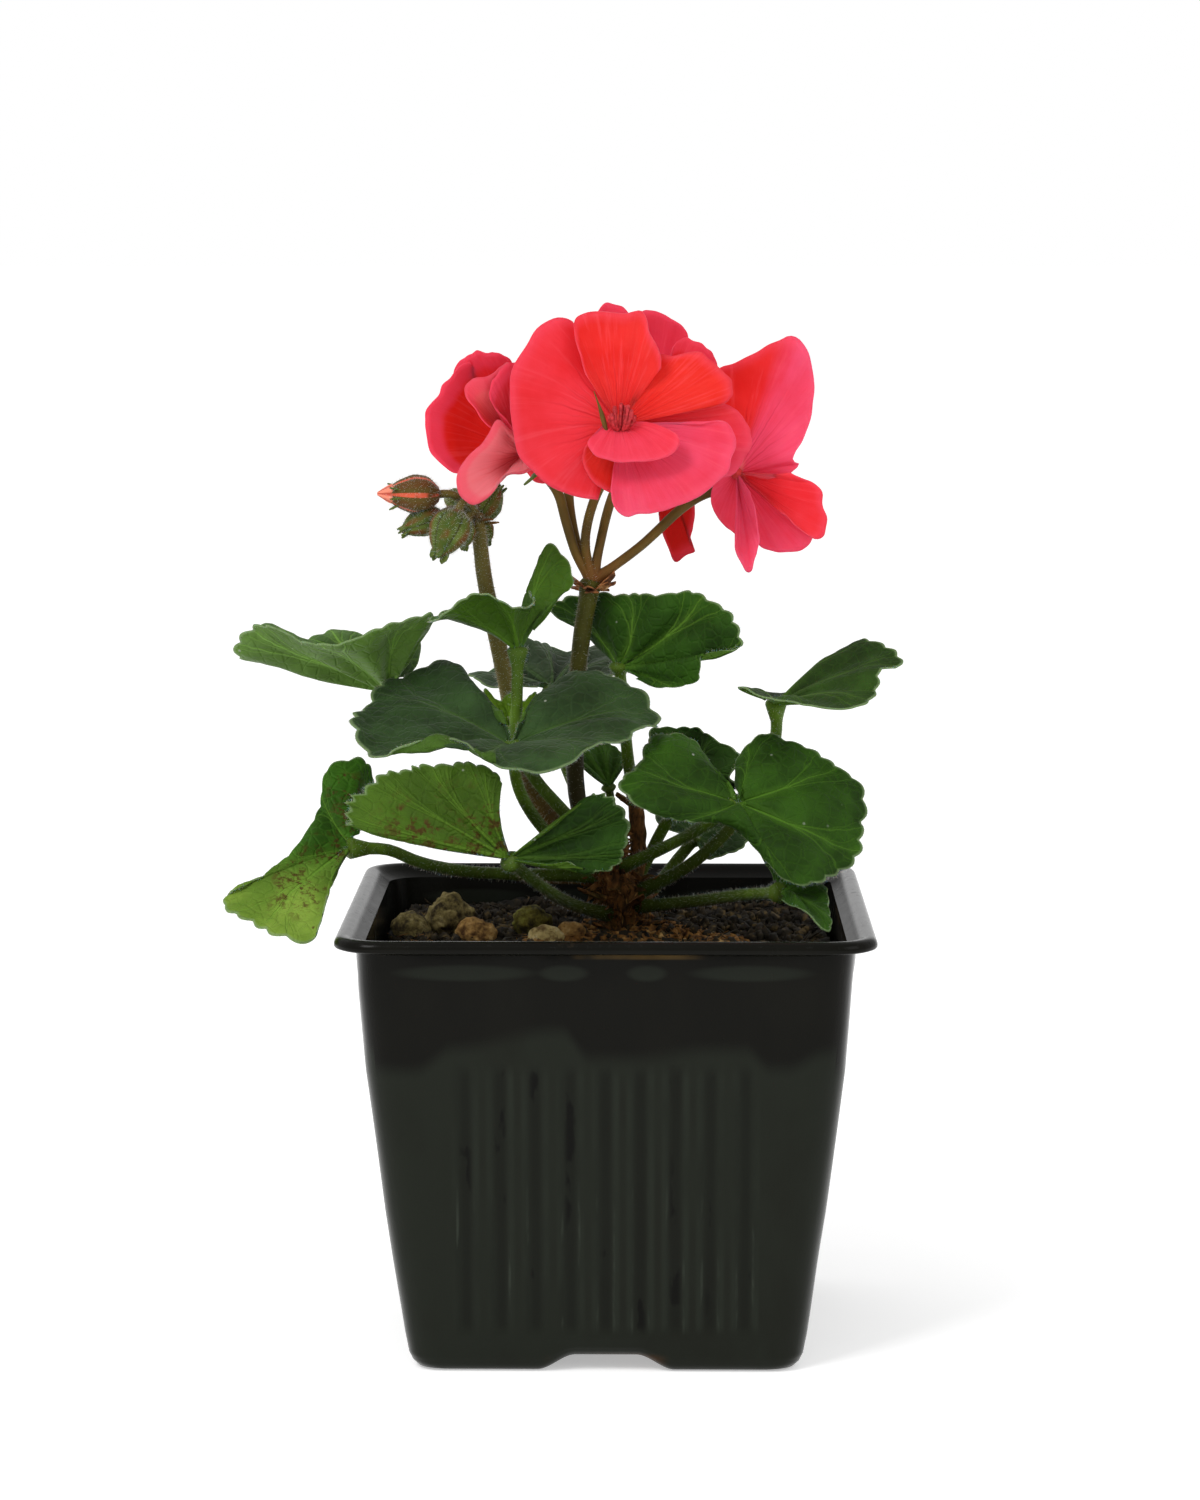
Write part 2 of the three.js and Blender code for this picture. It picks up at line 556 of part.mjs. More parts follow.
// Leaves. Each edge runs round the blade from one side of the sinus to the other.
const LEAVES = [
  {
    name: 'leaf_front', hub: [-19, -14, 121], lift: [0, -1, 2.5], teeth: 20, colour: 0x3d5a38,
    edge: [[-21.5, -9, 124.5], [-26, 0, 131], [-33, 7, 136], [-43, 6, 133], [-50, -5, 128], [-53, -18, 122.5],
      [-43, -31, 119.5], [-31, -36, 121], [-20, -38, 118.5], [-7, -35, 119.5], [2, -27, 122], [6, -18, 124.5],
      [11, -10, 125], [8, 0, 130], [-1, 6, 135], [-10, 4, 133], [-16, -8, 125]],
    petiole: [[-19, -14, 121.2], [-18, -10, 113], [-15, -5, 106], [-9, 5, 98], [-0.5, 13.5, 92]],
  },
  {
    name: 'leaf_far_left', hub: [-45, 14, 129], lift: [-1, -2, 1], teeth: 18, colour: 0x4a6b3a,
    edge: [[-43.5, 12, 131], [-39.5, 9, 137], [-35, 0, 147], [-46, -6, 143.5], [-57, -8, 141], [-68, -4, 143],
      [-76, 3, 138.5], [-75, 11, 136.5], [-71, 18, 142.5], [-64, 22, 139.5], [-57, 24, 140.5], [-46, 23, 139],
      [-39, 20, 139], [-42, 17, 132]],
    petiole: [[-45.2, 14.2, 129.3], [-37, 14, 123], [-27, 12, 119], [-18.5, 7.5, 115]],
  },
  {
    name: 'leaf_upper', hub: [-18, -4, 139], lift: [0, 0, 2], teeth: 16, colour: 0x3f6030,
    edge: [[-17, -1, 141], [-22, 3, 149], [-30, -1, 149], [-36, -8, 145], [-31, -15, 149.5],
      [-25, -17, 152.5], [-19, -13, 149], [-15, -5, 149.5], [-16, 0, 151], [-15, 3, 156], [-12, 5, 160],
      [-8, 3, 157.5], [-7, 1, 152.5], [-10, 0, 149.5], [-15, -1.5, 143]],
    petiole: [[-18.1, -3.8, 139.3], [-18.3, -4, 129], [-18.5, -3, 121], [-15, 1, 113], [-9.5, 4.5, 106],
      [-2, 11, 97]],
  },
  {
    name: 'leaf_low_left', hub: [-19, -24, 100], lift: [-1, -2, 0], teeth: 10, colour: 0x4b6b28,
    edge: [[-48, -35.3, 106.8], [-51, -36, 109], [-51, -36, 112], [-47, -33, 116.5], [-42, -29.5, 118.6],
      [-33, -27, 119.5], [-24, -26, 119], [-20.5, -26, 115]],
    lobe: {
      teeth: 8,
      edge: [[-6.5, -26, 109], [-2, -26, 113.5], [3, -24, 111.5], [4.5, -23, 106], [3, -25, 99.5],
        [-2, -28, 98], [-7.5, -28.2, 100]],
    },
    petiole: [[-19, -24, 99.5], [-13, -12, 92.5], [-7, 3, 86.5], [1, 14, 82.5]],
  },
  {
    name: 'leaf_drooping', hub: [-51, -15, 101], lift: [-1, -1, 0.5], teeth: 16, colour: 0x648a2c,
    edge: [[-50, -12, 103], [-47, -3, 112], [-49, -2, 117.5], [-56, -6, 116.5], [-58, -12, 108],
      [-61, -19, 102], [-68, -26, 96.5], [-76, -30, 92.5], [-72, -34, 89.5], [-65, -37, 86.5], [-57, -36, 85],
      [-55, -32, 92], [-53, -20, 98.5]],
    petiole: [[-51.2, -15.1, 100.8], [-44, -12, 100], [-38, -8, 97], [-30, 0, 94], [-17, 8, 92],
      [-1, 14, 91]],
  },
  {
    name: 'leaf_upper_right', hub: [2, 10, 134.5], lift: [2, -2, 0], teeth: 18, colour: 0x3c5a26,
    edge: [[5, 6.5, 132.5], [11, 2, 131], [18.5, -2, 133.5], [20, -4, 138.5], [28, -7, 141], [25, -4, 147],
      [18, 0, 151], [10, 3, 150.5], [2, 8, 150], [-5, 14, 150], [-12, 17, 147], [-11, 20, 144],
      [-3, 23, 140], [2, 20, 137.5], [3, 14, 136]],
    petiole: [[2.2, 10.1, 134.9], [3, 12, 127], [4, 14.5, 115], [5.5, 17, 106]],
  },
  {
    name: 'leaf_far_right', hub: [34, 0, 128], lift: [0, 0, 1], teeth: 18, colour: 0x3f5e33,
    edge: [[31.5, 0.5, 129], [28, 6, 130], [32, 12, 129], [40, 14, 129], [45, 14, 133], [49, 12, 138],
      [54, 8, 140.5], [60, 0, 137], [55, -7, 135], [51, -13, 131], [44, -15, 130.5], [35, -13, 130.5],
      [26, -7, 132], [31, -1.5, 129.5]],
    petiole: [[34, 0, 127.5], [34, 3, 121], [31, 7, 112], [26, 8, 103], [17, 10, 94], [4, 16, 86]],
  },
  {
    name: 'leaf_right', hub: [26, -16, 110], lift: [0.5, -2, 0.5], teeth: 22, colour: 0x44702a,
    edge: [[22.5, -14, 111.5], [21, -11, 117], [17, -9, 121.5], [9, -10, 123], [6, -17, 118], [2, -23, 115],
      [6, -26, 110.5], [14, -26, 108], [23, -24, 106], [30, -25, 102], [36, -30, 96], [43, -28, 96],
      [50, -22, 100], [52, -15, 109], [48, -9, 115], [39, -5, 121], [32, -5, 123], [26.5, -9, 119],
      [25.5, -14, 113]],
    petiole: [[25.7, -15.8, 110], [19, -7, 104], [11, 4, 98], [1, 14, 92]],
  },
  {
    name: 'leaf_low_right', hub: [34, -22, 93], lift: [1, 0, 1], teeth: 12, colour: 0x3d6426,
    edge: [[33.5, -19, 95], [32, -14, 100], [37, -15, 99], [42, -21, 96], [43.5, -30, 92], [43, -36, 87.5],
      [40, -36, 88.5], [37, -31, 91], [34.5, -26, 92]],
    petiole: [[34.2, -22.0, 93.0], [27, -12, 91], [18, 2, 87.5], [4, 15.5, 84]],
  },
  {
    name: 'leaf_behind_right', hub: [17, 9, 110], lift: [0, 1, 1], teeth: 10, colour: 0x314f28,
    edge: [[15, 8, 111.5], [9, 6, 118], [9, 12, 122], [17, 13, 122], [22, 9, 120.5], [27, 3, 116.5],
      [25, 4, 113], [27, 8, 110], [22, 14, 109], [18, 12, 109.5]],
    petiole: [[17, 9.3, 109.7], [12, 15, 102], [8.7, 19, 95], [4, 18, 86]],
  },
  {
    name: 'leaf_back', hub: [-12, 30, 128], lift: [0, 1, 1], teeth: 16, colour: 0x35503a,
    edge: [[-15, 27, 128.5], [-24, 26, 129], [-30, 31, 130.5], [-26, 39, 131], [-18, 38, 138], [-10, 44, 135],
      [0, 42, 136], [3, 33, 133], [-3, 24, 130.5], [-9, 25, 128.5]],
    petiole: [[-12, 30, 127.7], [-11, 28, 118], [-6, 24, 105], [2, 16, 90]],
  },
  {
    name: 'leaf_back_low', hub: [18, 26, 97], lift: [0, 1, 1], teeth: 12, colour: 0x3a5a2c,
    edge: [[16, 24, 97.5], [10, 22, 101], [11, 28, 105], [18, 33, 106], [26, 32, 104], [30, 27, 99],
      [28, 21, 96], [21, 20, 93.5], [18.5, 23, 96]],
    petiole: [[18, 26, 97.1], [13, 25, 91], [3.5, 17, 80]],
  },
  {
    name: 'leaf_young', hub: [-19, 1, 121.5], lift: [0, 0, -1], teeth: 8, colour: 0x6f8f30,
    edge: [[-23, -0.5, 125], [-25, 0.2, 128], [-25, 1.5, 131], [-22, 3, 128.5], [-19.5, 2.5, 130.5],
      [-17, 3, 128.5], [-14.6, 2.5, 130.5], [-14.6, 1.5, 128], [-15.5, 0.5, 125]],
    petiole: [[-19, 1.1, 121.8], [-19, 3, 119], [-18.5, 7, 117]],
    petioleRadius: 0.9,
  },
  {
    name: 'leaf_small', hub: [0, 17, 109], lift: [0, -1, 0], teeth: 8, colour: 0x4c7d2a,
    edge: [[-4, 14.5, 113], [-8, 16, 116], [-9, 21, 117], [-4, 25, 118], [2, 24, 116], [3, 20.5, 112.5]],
    petiole: [[0, 17.2, 108.8], [1, 19, 104], [6, 18.5, 98]],
    petioleRadius: 0.9,
  },
];

// Brown side shoot, its bud stalk, and the buds that hang or stand round the stalk's end. The petals
// of the biggest bud show at its tip.
const SHOOT_PATH = [[-1, 13.5, 91], [-8.5, 11, 99], [-13.5, 9, 106], [-17.5, 7.5, 115], [-20, 6.5, 128],
  [-22, 5.5, 138], [-25, 4, 153], [-26.5, 3.5, 166]];
const BUD_KNOT = [-26.6, 3.5, 166.5];
const BUDS = [
  { base: [-34, -1, 170.5], tip: [-45, -3, 170.7], radius: 3.8 },
  { base: [-33.5, 0, 166.5], tip: [-41.5, -3, 163.3], radius: 3 },
  { base: [-30, -3.5, 167], tip: [-34, -8, 158.5], radius: 4 },
  { base: [-26, 5, 165.5], tip: [-21.8, 7, 171.7], radius: 2.7 },
  { base: [-25.5, 6.5, 165], tip: [-24.5, 9, 160], radius: 1.9 },
  { base: [-29.5, 7, 168], tip: [-33, 12, 170], radius: 2.4 },
  { base: [-28, 1, 165], tip: [-29, -0.5, 159.5], radius: 1.8 },
];

const BUD_PETALS = { base: [-38, -1.7, 170.6], tip: [-46.2, -3.1, 170.8], radius: 2.3 };

function budPetals(grow) {
  const { base, tip, radius } = BUD_PETALS;
  const heading = vec(tip).sub(vec(base)).setLength(grow);
  const start = vec(base).sub(heading).toArray();
  const end = vec(tip).add(heading).toArray();
  return ovoid(start, end, radius + 1.6 * grow, { relief: 0, sides: 8 });
}

function shootSolid(grow) {
  return stem(SHOOT_PATH, ...BUD_SHOOT_RADII, { sides: 7, steps: 10, grow });
}

function makeBudShoot() {
  const [x, y, z] = BUD_KNOT;
  const knuckle = ovoid([x, y, z - 3], [x, y, z + 3.5], BUD_KNOT_RADIUS, { relief: 0, sides: 7 });
  const parts = [shootSolid(0), knuckle];
  for (const { base, tip, radius } of BUDS) {
    const bend = vec(base).lerp(vec(tip), -0.25);
    const inside = vec(base).lerp(vec(tip), 0.12);
    const path = [BUD_KNOT, bend.toArray(), inside.toArray()];
    parts.push(stem(path, ...BUD_STALK_RADII, { sides: 5, steps: 3 }));
    parts.push(ovoid(base, tip, radius, radius > 2.5 ? {} : { relief: 0, sides: 6 }));
  }
  return join(parts).subtract(budPetals(CLEARANCE));
}

// Main stalk, the bracts at its knot, the pedicels and the sepals behind each floret.
const STALK_PATH = [[-2.5, 13.5, 96], [-6.2, 12.3, 106], [-6.6, 10.5, 128], [-5.3, 9, 142], [-3.6, 8, 152]];
const KNOT = [-3.2, 8, 152.3];
const BRACTS = { count: 7, reach: 5.2, rise: 1.2, notch: 2.6 };
const SEPALS = { count: 5, reach: 4.8, rise: -0.6, notch: 1.5 };
const STAMENS = { count: 7, reach: 2.3, rise: 4.2, notch: 0.6 };
const PEDICELS = [
  [KNOT, [0.2, 6.5, 163], [2.8, 3, 174], [2.6, 0.6, 181.8]],
  [KNOT, [-7, 8, 158], [-10.3, 7.5, 168], [-14, 7.8, 175.4]],
  [KNOT, [6.5, 9.5, 158.5], [16.2, 11, 167], [22.6, 11, 171.4]],
  [KNOT, [-6.5, 10, 158], [-7.7, 13, 170], [-6.5, 16.5, 181.5]],
  [KNOT, [-3, 12, 164], [1.5, 15, 173], [6, 16.8, 180]],
];

function makeFlowerStalk() {
  const [x, y, z] = KNOT;
  const parts = [
    stem(STALK_PATH, ...STALK_RADII, { sides: 7, steps: 7 }),
    ovoid([x, y, z - 3], [x, y, z + 3.5], KNOT_RADIUS, { relief: 0, sides: 7 }),
    lobes({ end: [x, y, z - 0.5], heading: [0, 0, 1], ...BRACTS }),
  ];
  for (const path of PEDICELS) {
    parts.push(stem(path, ...PEDICEL_RADII, { steps: 4 }));
    const heading = vec(path.at(-1)).sub(vec(path.at(-2)));
    parts.push(lobes({ end: path.at(-1), heading: heading.toArray(), ...SEPALS }));
  }
  return join(parts);
}

// Florets: where the claws meet, then for each petal either the points of its edge, or its tip, the
// side it shows and how far it bends.
const FLORETS = {
  floret_front: {
    base: [2.2, -4, 184.5],
    counts: [5, 10, 18],
    petals: [
      {
        edge: [[-3.5, -5, 194.8], [-5.1, -5.5, 199.5], [-5.9, -6, 203.5], [-7.1, -6.3, 205.3],
          [-9.5, -7, 205.9], [-12, -8, 205.3], [-14, -9, 204], [-15.9, -9.5, 201.2],
          [-17.5, -9.8, 198.3], [-19.1, -9.5, 194.7], [-19.5, -9.5, 190.7], [-18.9, -9.8, 185.8],
          [-18.3, -10, 181.9], [-17.4, -10, 178.3], [-15.2, -10, 175.9], [-12.4, -10, 173.3],
          [-9.4, -9.5, 171.7], [-5.5, -9, 170.5], [-1.9, -8.5, 169.9]],
        lift: [0, 0.8, 0],
      },
      {
        edge: [[-4.3, -7.5, 194.8], [-5.7, -8, 198.6], [-6.5, -8.2, 202.6], [-6.3, -8.5, 205.7],
          [-4.5, -8.5, 206.7], [-2.1, -8.8, 207.3], [0.9, -9, 207.1], [3.5, -9, 206.5], [5, -9, 206.9],
          [6.6, -8.7, 207.3], [7.6, -8.5, 205.9], [8.4, -8.5, 203.2], [9.8, -8, 200.6],
          [10.6, -8, 198.2], [10.6, -7.5, 196]],
        lift: [0, 0.6, 0],
      },
      {
        edge: [[8.4, -4.2, 197.1], [10.6, -4.4, 198.7], [12.8, -4.6, 198.3], [15.4, -5, 198.9],
          [18.3, -5.5, 199.1], [20.7, -5.6, 197.4], [22.7, -5.6, 195.6], [24.5, -5.6, 193.4],
          [25.1, -5.6, 191.2], [24.1, -5.6, 189.6], [22.8, -5.4, 188.8]],
        lift: [0, -0.8, 0],
      },
      {
        edge: [[20.8, -3.6, 189.6], [23.2, -4, 189], [25.8, -4.4, 187.6], [27.8, -4.5, 184.8],
          [28.6, -4.5, 181.6], [27.6, -4.5, 178.6], [26, -4.5, 176.1], [23.8, -4.7, 174.3],
          [20.8, -5, 174.1]],
        lift: [0, 0.5, 0],
      },
      {
        edge: [[0.7, -12.5, 172.1], [1.3, -14, 169.6], [2.7, -14.8, 167.7], [4.1, -15, 167.1],
          [6.1, -15, 167.7], [8.5, -15, 167.5], [10.8, -15, 167.9], [13.4, -14.5, 169.3],
          [16.4, -14, 170.4], [18.9, -13.5, 171.6], [21.3, -12.5, 173.3], [23.7, -11.5, 175.4],
          [24.5, -11, 177.8], [25.5, -10.5, 179.9], [25.3, -10.5, 182.5], [24.1, -10, 184.9],
          [22.3, -9.5, 185.6], [18.4, -8.5, 185]],
        lift: [0, 1.2, 0],
      },
      {
        edge: [[-1.3, -7.5, 183.9], [-3.1, -9.5, 182.6], [-3.8, -11, 181.3], [-3.2, -12, 180],
          [-2.2, -13, 178.9], [-0.3, -13.3, 178.3], [2.1, -13.5, 177.7], [6.5, -13.5, 177.7],
          [10.4, -13, 178.3], [13.2, -12.5, 179.4], [14.4, -11.5, 181.2], [14, -10.5, 182.7],
          [12.4, -9.5, 183.8]],
        lift: [0, 0, 1.2],
      },
      {
        edge: [[-3.9, -6.5, 181.3], [-4.7, -7.5, 178.8], [-4.5, -8.5, 176.2], [-3.1, -9.3, 173.7],
          [-1.5, -9.5, 172.3], [0.7, -9.5, 171.5], [0.9, -9.2, 173.9]],
        lift: [0, 0.5, 0],
      },
    ],
  },
  floret_left: {
    base: [-17, 4.5, 178.5],
    counts: [4, 8, 16],
    petals: [
      {
        edge: [[-27.7, 1, 197], [-30.6, -1, 195.6], [-32.3, -3, 193.5], [-34.2, -5, 190.6],
          [-35.8, -6.5, 188.3], [-36.1, -7.3, 185.7], [-35.7, -7.8, 182.2], [-34.9, -8.2, 179.4],
          [-33.1, -8.4, 177], [-30.8, -8.3, 175.6], [-28, -7.8, 175.6]],
        lift: [0, 4.5, 0],
      },
      {
        edge: [[-31.8, 3.5, 193.3], [-30.4, 2.2, 196.1], [-28.5, 1.2, 198], [-26.9, 0.8, 199],
          [-24.7, 0.8, 199.2], [-22.3, 1.2, 198.8], [-20.1, 2, 197.9], [-18.9, 3, 195.7]],
        lift: [0, 2, 0],
      },
      {
        edge: [[-20.1, -3.2, 197.1], [-22.1, -4.4, 194.9], [-24, -5.2, 193], [-26.4, -6, 192.2],
          [-28, -6.4, 190.4], [-28.4, -6.6, 188.1], [-28, -6.8, 185.3], [-26.6, -7, 182.7],
          [-24.6, -7, 181.1], [-22.8, -6.6, 183.1], [-21.7, -5.5, 185.2]],
        lift: [0, 3, 0],
      },
      {
        edge: [[-18.1, -4.5, 197.1], [-20, -5.6, 196.8], [-22, -6.4, 194.8], [-23.4, -6.8, 192.2],
          [-23.4, -6.8, 189.9], [-22, -6.6, 187.7], [-20.2, -6.2, 185.7], [-18.9, -5.6, 184]],
        lift: [0, -1, 0],
      },
      {
        edge: [[-18.9, -6, 183.1], [-20.4, -6.8, 184.3], [-22, -7.6, 185.7], [-23.7, -8.9, 183],
          [-25.3, -9.4, 180.8], [-27.3, -9.8, 178.9], [-28.9, -10.2, 176.9], [-29.9, -10.5, 174.4],
          [-29.5, -10.5, 171.6], [-28.3, -10.5, 170], [-26.7, -10.5, 169], [-24.9, -10, 169.8],
          [-23.2, -9.5, 171.3], [-21.6, -8.5, 173.5], [-19.5, -7, 174.6], [-17.1, -5.6, 174.9],
          [-15.1, -4.6, 175.8]],
        lift: [0, -4, 0],
      },
    ],
  },
  floret_right: {
    base: [26, 7, 174.5],
    counts: [4, 8, 16],
    petals: [
      {
        edge: [[21.3, 6.5, 189.2], [21.3, 6.3, 193.2], [22.5, 6, 195.8], [25.1, 5, 196.7],
          [27.5, 4.2, 197.9], [30.1, 3.5, 198.9], [32.5, 3, 200.5], [34.5, 2.6, 201.3],
          [36.3, 2.5, 202.1], [38.1, 2.5, 201.7], [39.7, 2.5, 200.1], [40.7, 2.8, 197.7],
          [41.3, 3, 194.9], [41.4, 3.2, 191.7], [41, 3.3, 188.3], [40.4, 3.4, 184.3], [39.2, 3.5, 180.9],
          [37.8, 3.6, 178.7], [37.3, 3.7, 177], [38.5, 3.7, 176.4], [36.9, 4, 174.8], [35.5, 4.5, 173.4]],
        lift: [0, 1.5, 0],
      },
      {
        edge: [[32.2, 3.5, 173.4], [34.4, 2.5, 173.9], [36.6, 1.5, 174.3], [39.2, 0.5, 173.8],
          [41.6, 0, 172.6], [43, -0.5, 170.8], [43.2, -0.8, 168], [43.8, -1, 165.4], [43.4, -1, 162.4],
          [41.6, -1, 161.6], [38.6, -0.5, 163.8], [35.6, 0.5, 166.3], [33, 2, 168.5]],
        lift: [0, -0.5, 0],
      },
      {
        edge: [[33.1, 5.6, 169.5], [36.7, 4.6, 167.9], [39.9, 3.4, 165.2], [41.3, 2.7, 161.8],
          [40.3, 2.5, 159.8], [37.7, 2.5, 159], [35.7, 2.5, 158.7], [33.1, 3, 159.1], [30.7, 3.5, 159.9],
          [29.5, 4.5, 163.1]],
        lift: [0, 0.5, 0],
      },
      {
        edge: [[28.5, 0.5, 171], [29.1, -1, 168.4], [29.9, -2.6, 164.5], [30.3, -4, 161],
          [29.5, -5, 158.1], [28.5, -5.5, 155.1], [27.7, -5.5, 155.3], [26.5, -5, 157.7],
          [25.7, -4.5, 159.9], [25.7, -3.8, 162]],
        lift: [0, -0.6, 0],
      },
      {
        edge: [[22.6, 5.4, 173.5], [21.6, 5.1, 172.3], [21, 5, 170.5], [21, 5, 168.1], [22.2, 5, 165.4],
          [24.2, 5, 163.4], [26.3, 5, 162], [27.5, 5.2, 164.2]],
        lift: [0, 0, 0],
      },
    ],
  },
  floret_back_left: {
    base: [-6.5, 20, 185],
    counts: [4, 8, 14],
    petals: [
      { tip: [3, 19, 208], facing: [0, -1, 0], spread: 22, cup: 1, curl: 0 },
      { tip: [-19, 26, 195], facing: [0, -1, 0.2], spread: 36, cup: -1, curl: 0 },
      { tip: [-14, 30, 171], facing: [0, -1, -0.3], spread: 38, cup: -1, curl: 0 },
      { tip: [-8, 34, 202], facing: [0, -1, 0.4], spread: 38, cup: -1, curl: 1 },
    ],
  },
  floret_back_right: {
    base: [8.5, 20, 184.5],
    counts: [4, 8, 14],
    petals: [
      { tip: [12.5, 17, 207], facing: [0, -1, 0], spread: 24, cup: 1, curl: 0 },
      { tip: [21.5, 13, 201], facing: [0, -1, 0], spread: 20, cup: 1, curl: 0 },
      { tip: [24, 29, 189], facing: [0, -1, 0.2], spread: 38, cup: -1, curl: 0 },
      { tip: [12, 34, 173], facing: [0, -1, -0.3], spread: 38, cup: -1, curl: 0 },
      {
        edge: [[12.1, 16.8, 170.4], [10.3, 16.2, 165.7], [10.9, 16, 162.3], [12.1, 16, 158.8],
          [13.6, 16, 155.9], [15.6, 16, 156.9], [17.7, 16, 157.9], [16.9, 16, 159.6], [17.3, 16, 162.7],
          [17.7, 16.3, 167.4], [17, 16.8, 171.4]],
        lift: [0, -0.5, 0],
      },
    ],
  },
};

function makeFloret({ base, counts, petals }) {
  const [x, y, z] = base;
  const throat = ovoid([x, y + 1.4, z - 0.6], [x, y - 1.8, z + 0.3], 1.5, { relief: 0, sides: 7 });
  const blades = petals.map((shape) => (shape.edge ? outlinedPetal : petal)(base, counts, shape));
  return join([throat, ...blades]);
}

// Stamens that stand in the throat of the front floret, joined at their foot.
function makeStamens() {
  const [x, y, z] = FLORETS.floret_front.base;
  return lobes({ end: [x, y - 3.6, z + 1], heading: [0.1, -1, 0.2], ...STAMENS });
}

// The plant stands in plain holes, and every piece keeps clear of the one that carries it.
const crownClear = crownSolid(1.5 * CLEARANCE);
const shootClear = shootSolid(CLEARANCE);

addNode('pot', makePot(), 0x1c1f1b, 0.4);
let soil = makeSoil().subtract(crownClear);
STONES.forEach((stone, k) => {
  soil = soil.subtract(lump(stone, CLEARANCE, 11 + k));
  addNode(stone.name, lump(stone, 0, 11 + k), stone.colour, 0.95);
});
addNode('soil', soil, 0x18140e, 1);
addNode('crown', crownSolid(0), 0x4a2f18, 0.9);
for (const leaf of LEAVES) {
  const radius = leaf.petioleRadius ?? PETIOLE_RADIUS;
  const petiole = stem(leaf.petiole, radius, radius).subtract(crownClear).subtract(shootClear);
  addNode(leaf.name, leafBlade(leaf).add(petiole), leaf.colour, 0.75);
}
addNode('bud_shoot', makeBudShoot().subtract(crownClear), 0x5d4a2a, 0.8);
addNode('bud_petals', budPetals(0), 0xe8705a, 0.6);
addNode('flower_stalk', makeFlowerStalk().subtract(crownClear), 0x554a20, 0.8);
for (const [name, floret] of Object.entries(FLORETS)) {
  addNode(name, makeFloret(floret), 0xea3a4c, 0.6);
}
addNode('floret_front_stamens', makeStamens(), 0x8a1420, 0.6);

export default group;
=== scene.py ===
# A zonal geranium in bloom, in a square nursery pot, on a pale floor in soft studio light.
# Sizes in the sections are millimetres; every piece is put down in metres, in the frame of the solids.
import math

import bpy
import numpy as np
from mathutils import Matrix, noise


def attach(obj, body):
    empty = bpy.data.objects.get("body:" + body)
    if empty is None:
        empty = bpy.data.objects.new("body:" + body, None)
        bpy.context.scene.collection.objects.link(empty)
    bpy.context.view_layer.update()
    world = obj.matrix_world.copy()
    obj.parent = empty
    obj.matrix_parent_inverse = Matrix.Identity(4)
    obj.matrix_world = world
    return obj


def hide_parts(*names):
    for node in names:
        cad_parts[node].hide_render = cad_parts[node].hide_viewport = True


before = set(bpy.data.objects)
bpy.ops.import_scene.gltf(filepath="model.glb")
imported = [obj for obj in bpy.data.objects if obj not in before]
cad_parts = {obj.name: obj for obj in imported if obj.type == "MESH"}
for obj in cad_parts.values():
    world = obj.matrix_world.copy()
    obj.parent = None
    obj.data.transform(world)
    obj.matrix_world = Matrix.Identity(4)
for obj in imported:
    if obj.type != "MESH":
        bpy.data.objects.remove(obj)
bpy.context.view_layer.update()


# The pot is a square nursery pot, pressed in one piece from thin black plastic. Its walls lean out
# from a rounded foot to a flared rim, with nine flutes on each wall. A raised arch with a drain slot
# stands at the middle of each foot side. The lower wall is duller than the polished top band, and its
# lighter grey-green colour is a painted reflection of the floor.
POT_HEIGHT = 88
RIM_HALF = 52.5
RIM_CORNER = 9
FLUTES = 9
FLUTE_PITCH = 6.8
FLUTE_DEPTH = 0.7
FLUTE_TOP = 64
FLUTE_FOOT = 7
POT_FLOOR = 1.3
ARCH_WIDTH = 20
ARCH_HEIGHT = 3
ARCH_DEPTH = 15
ARCH_MOUTH = 38
DRAIN_SLOT = 6
SLOT_FROM_MIDDLE = 32
# Points along each wall and round each corner
WALL_STEPS = 120
CORNER_STEPS = 10
# Outside of the wall: height, half width and corner radius
POT_OUTSIDE = [(0, 36.0, 5), (0.5, 37.4, 5), (1.5, 38.3, 5.5), (3, 39.0, 6), (7, 39.8, 7), (32, 43.3, 8),
               (61, 46.7, 8), (84.8, 48.4, 8)]
# The rim, from under its lip over the top and down inside, in the same terms
RIM = [(85.2, 49.0, 8), (85.45, 51.2, 9), (85.6, 51.9, 9), (85.8, 52.3, 9), (86.1, RIM_HALF, RIM_CORNER),
       (86.6, 52.5, 9), (87, 52.4, 9), (87.4, 52.2, 8.8), (87.75, 51.8, 8.4), (87.95, 51.3, 8),
       (POT_HEIGHT, 50.7, 7.8), (87.9, 50.1, 7.5), (87.5, 49.5, 7.2), (86.8, 48.9, 7), (86.1, 48.1, 7)]
# Inside of the wall: height and half width
POT_INSIDE = [(POT_FLOOR, 36.2), (32, 40.6), (61, 44.5), (85.5, 47)]
INSIDE_LEVELS = (85.5, 82, 78, 74, 70, 61, 46, 32, 20, 10, 6, 4, 3, 2, POT_FLOOR)
# Rings of the flat floor, as shares of its half width
FLOOR_SHARES = (0.12, 0.25, 0.4, 0.55, 0.62, 0.69, 0.76, 0.83, 0.9, 0.96)
# Soft swells under the rim: place along the wall and half length
SWELLS = [(-27, 15), (-8, 5), (8, 4), (28, 13)]
SWELL_LEVEL = 82.6
SWELL_RELIEF = 0.35


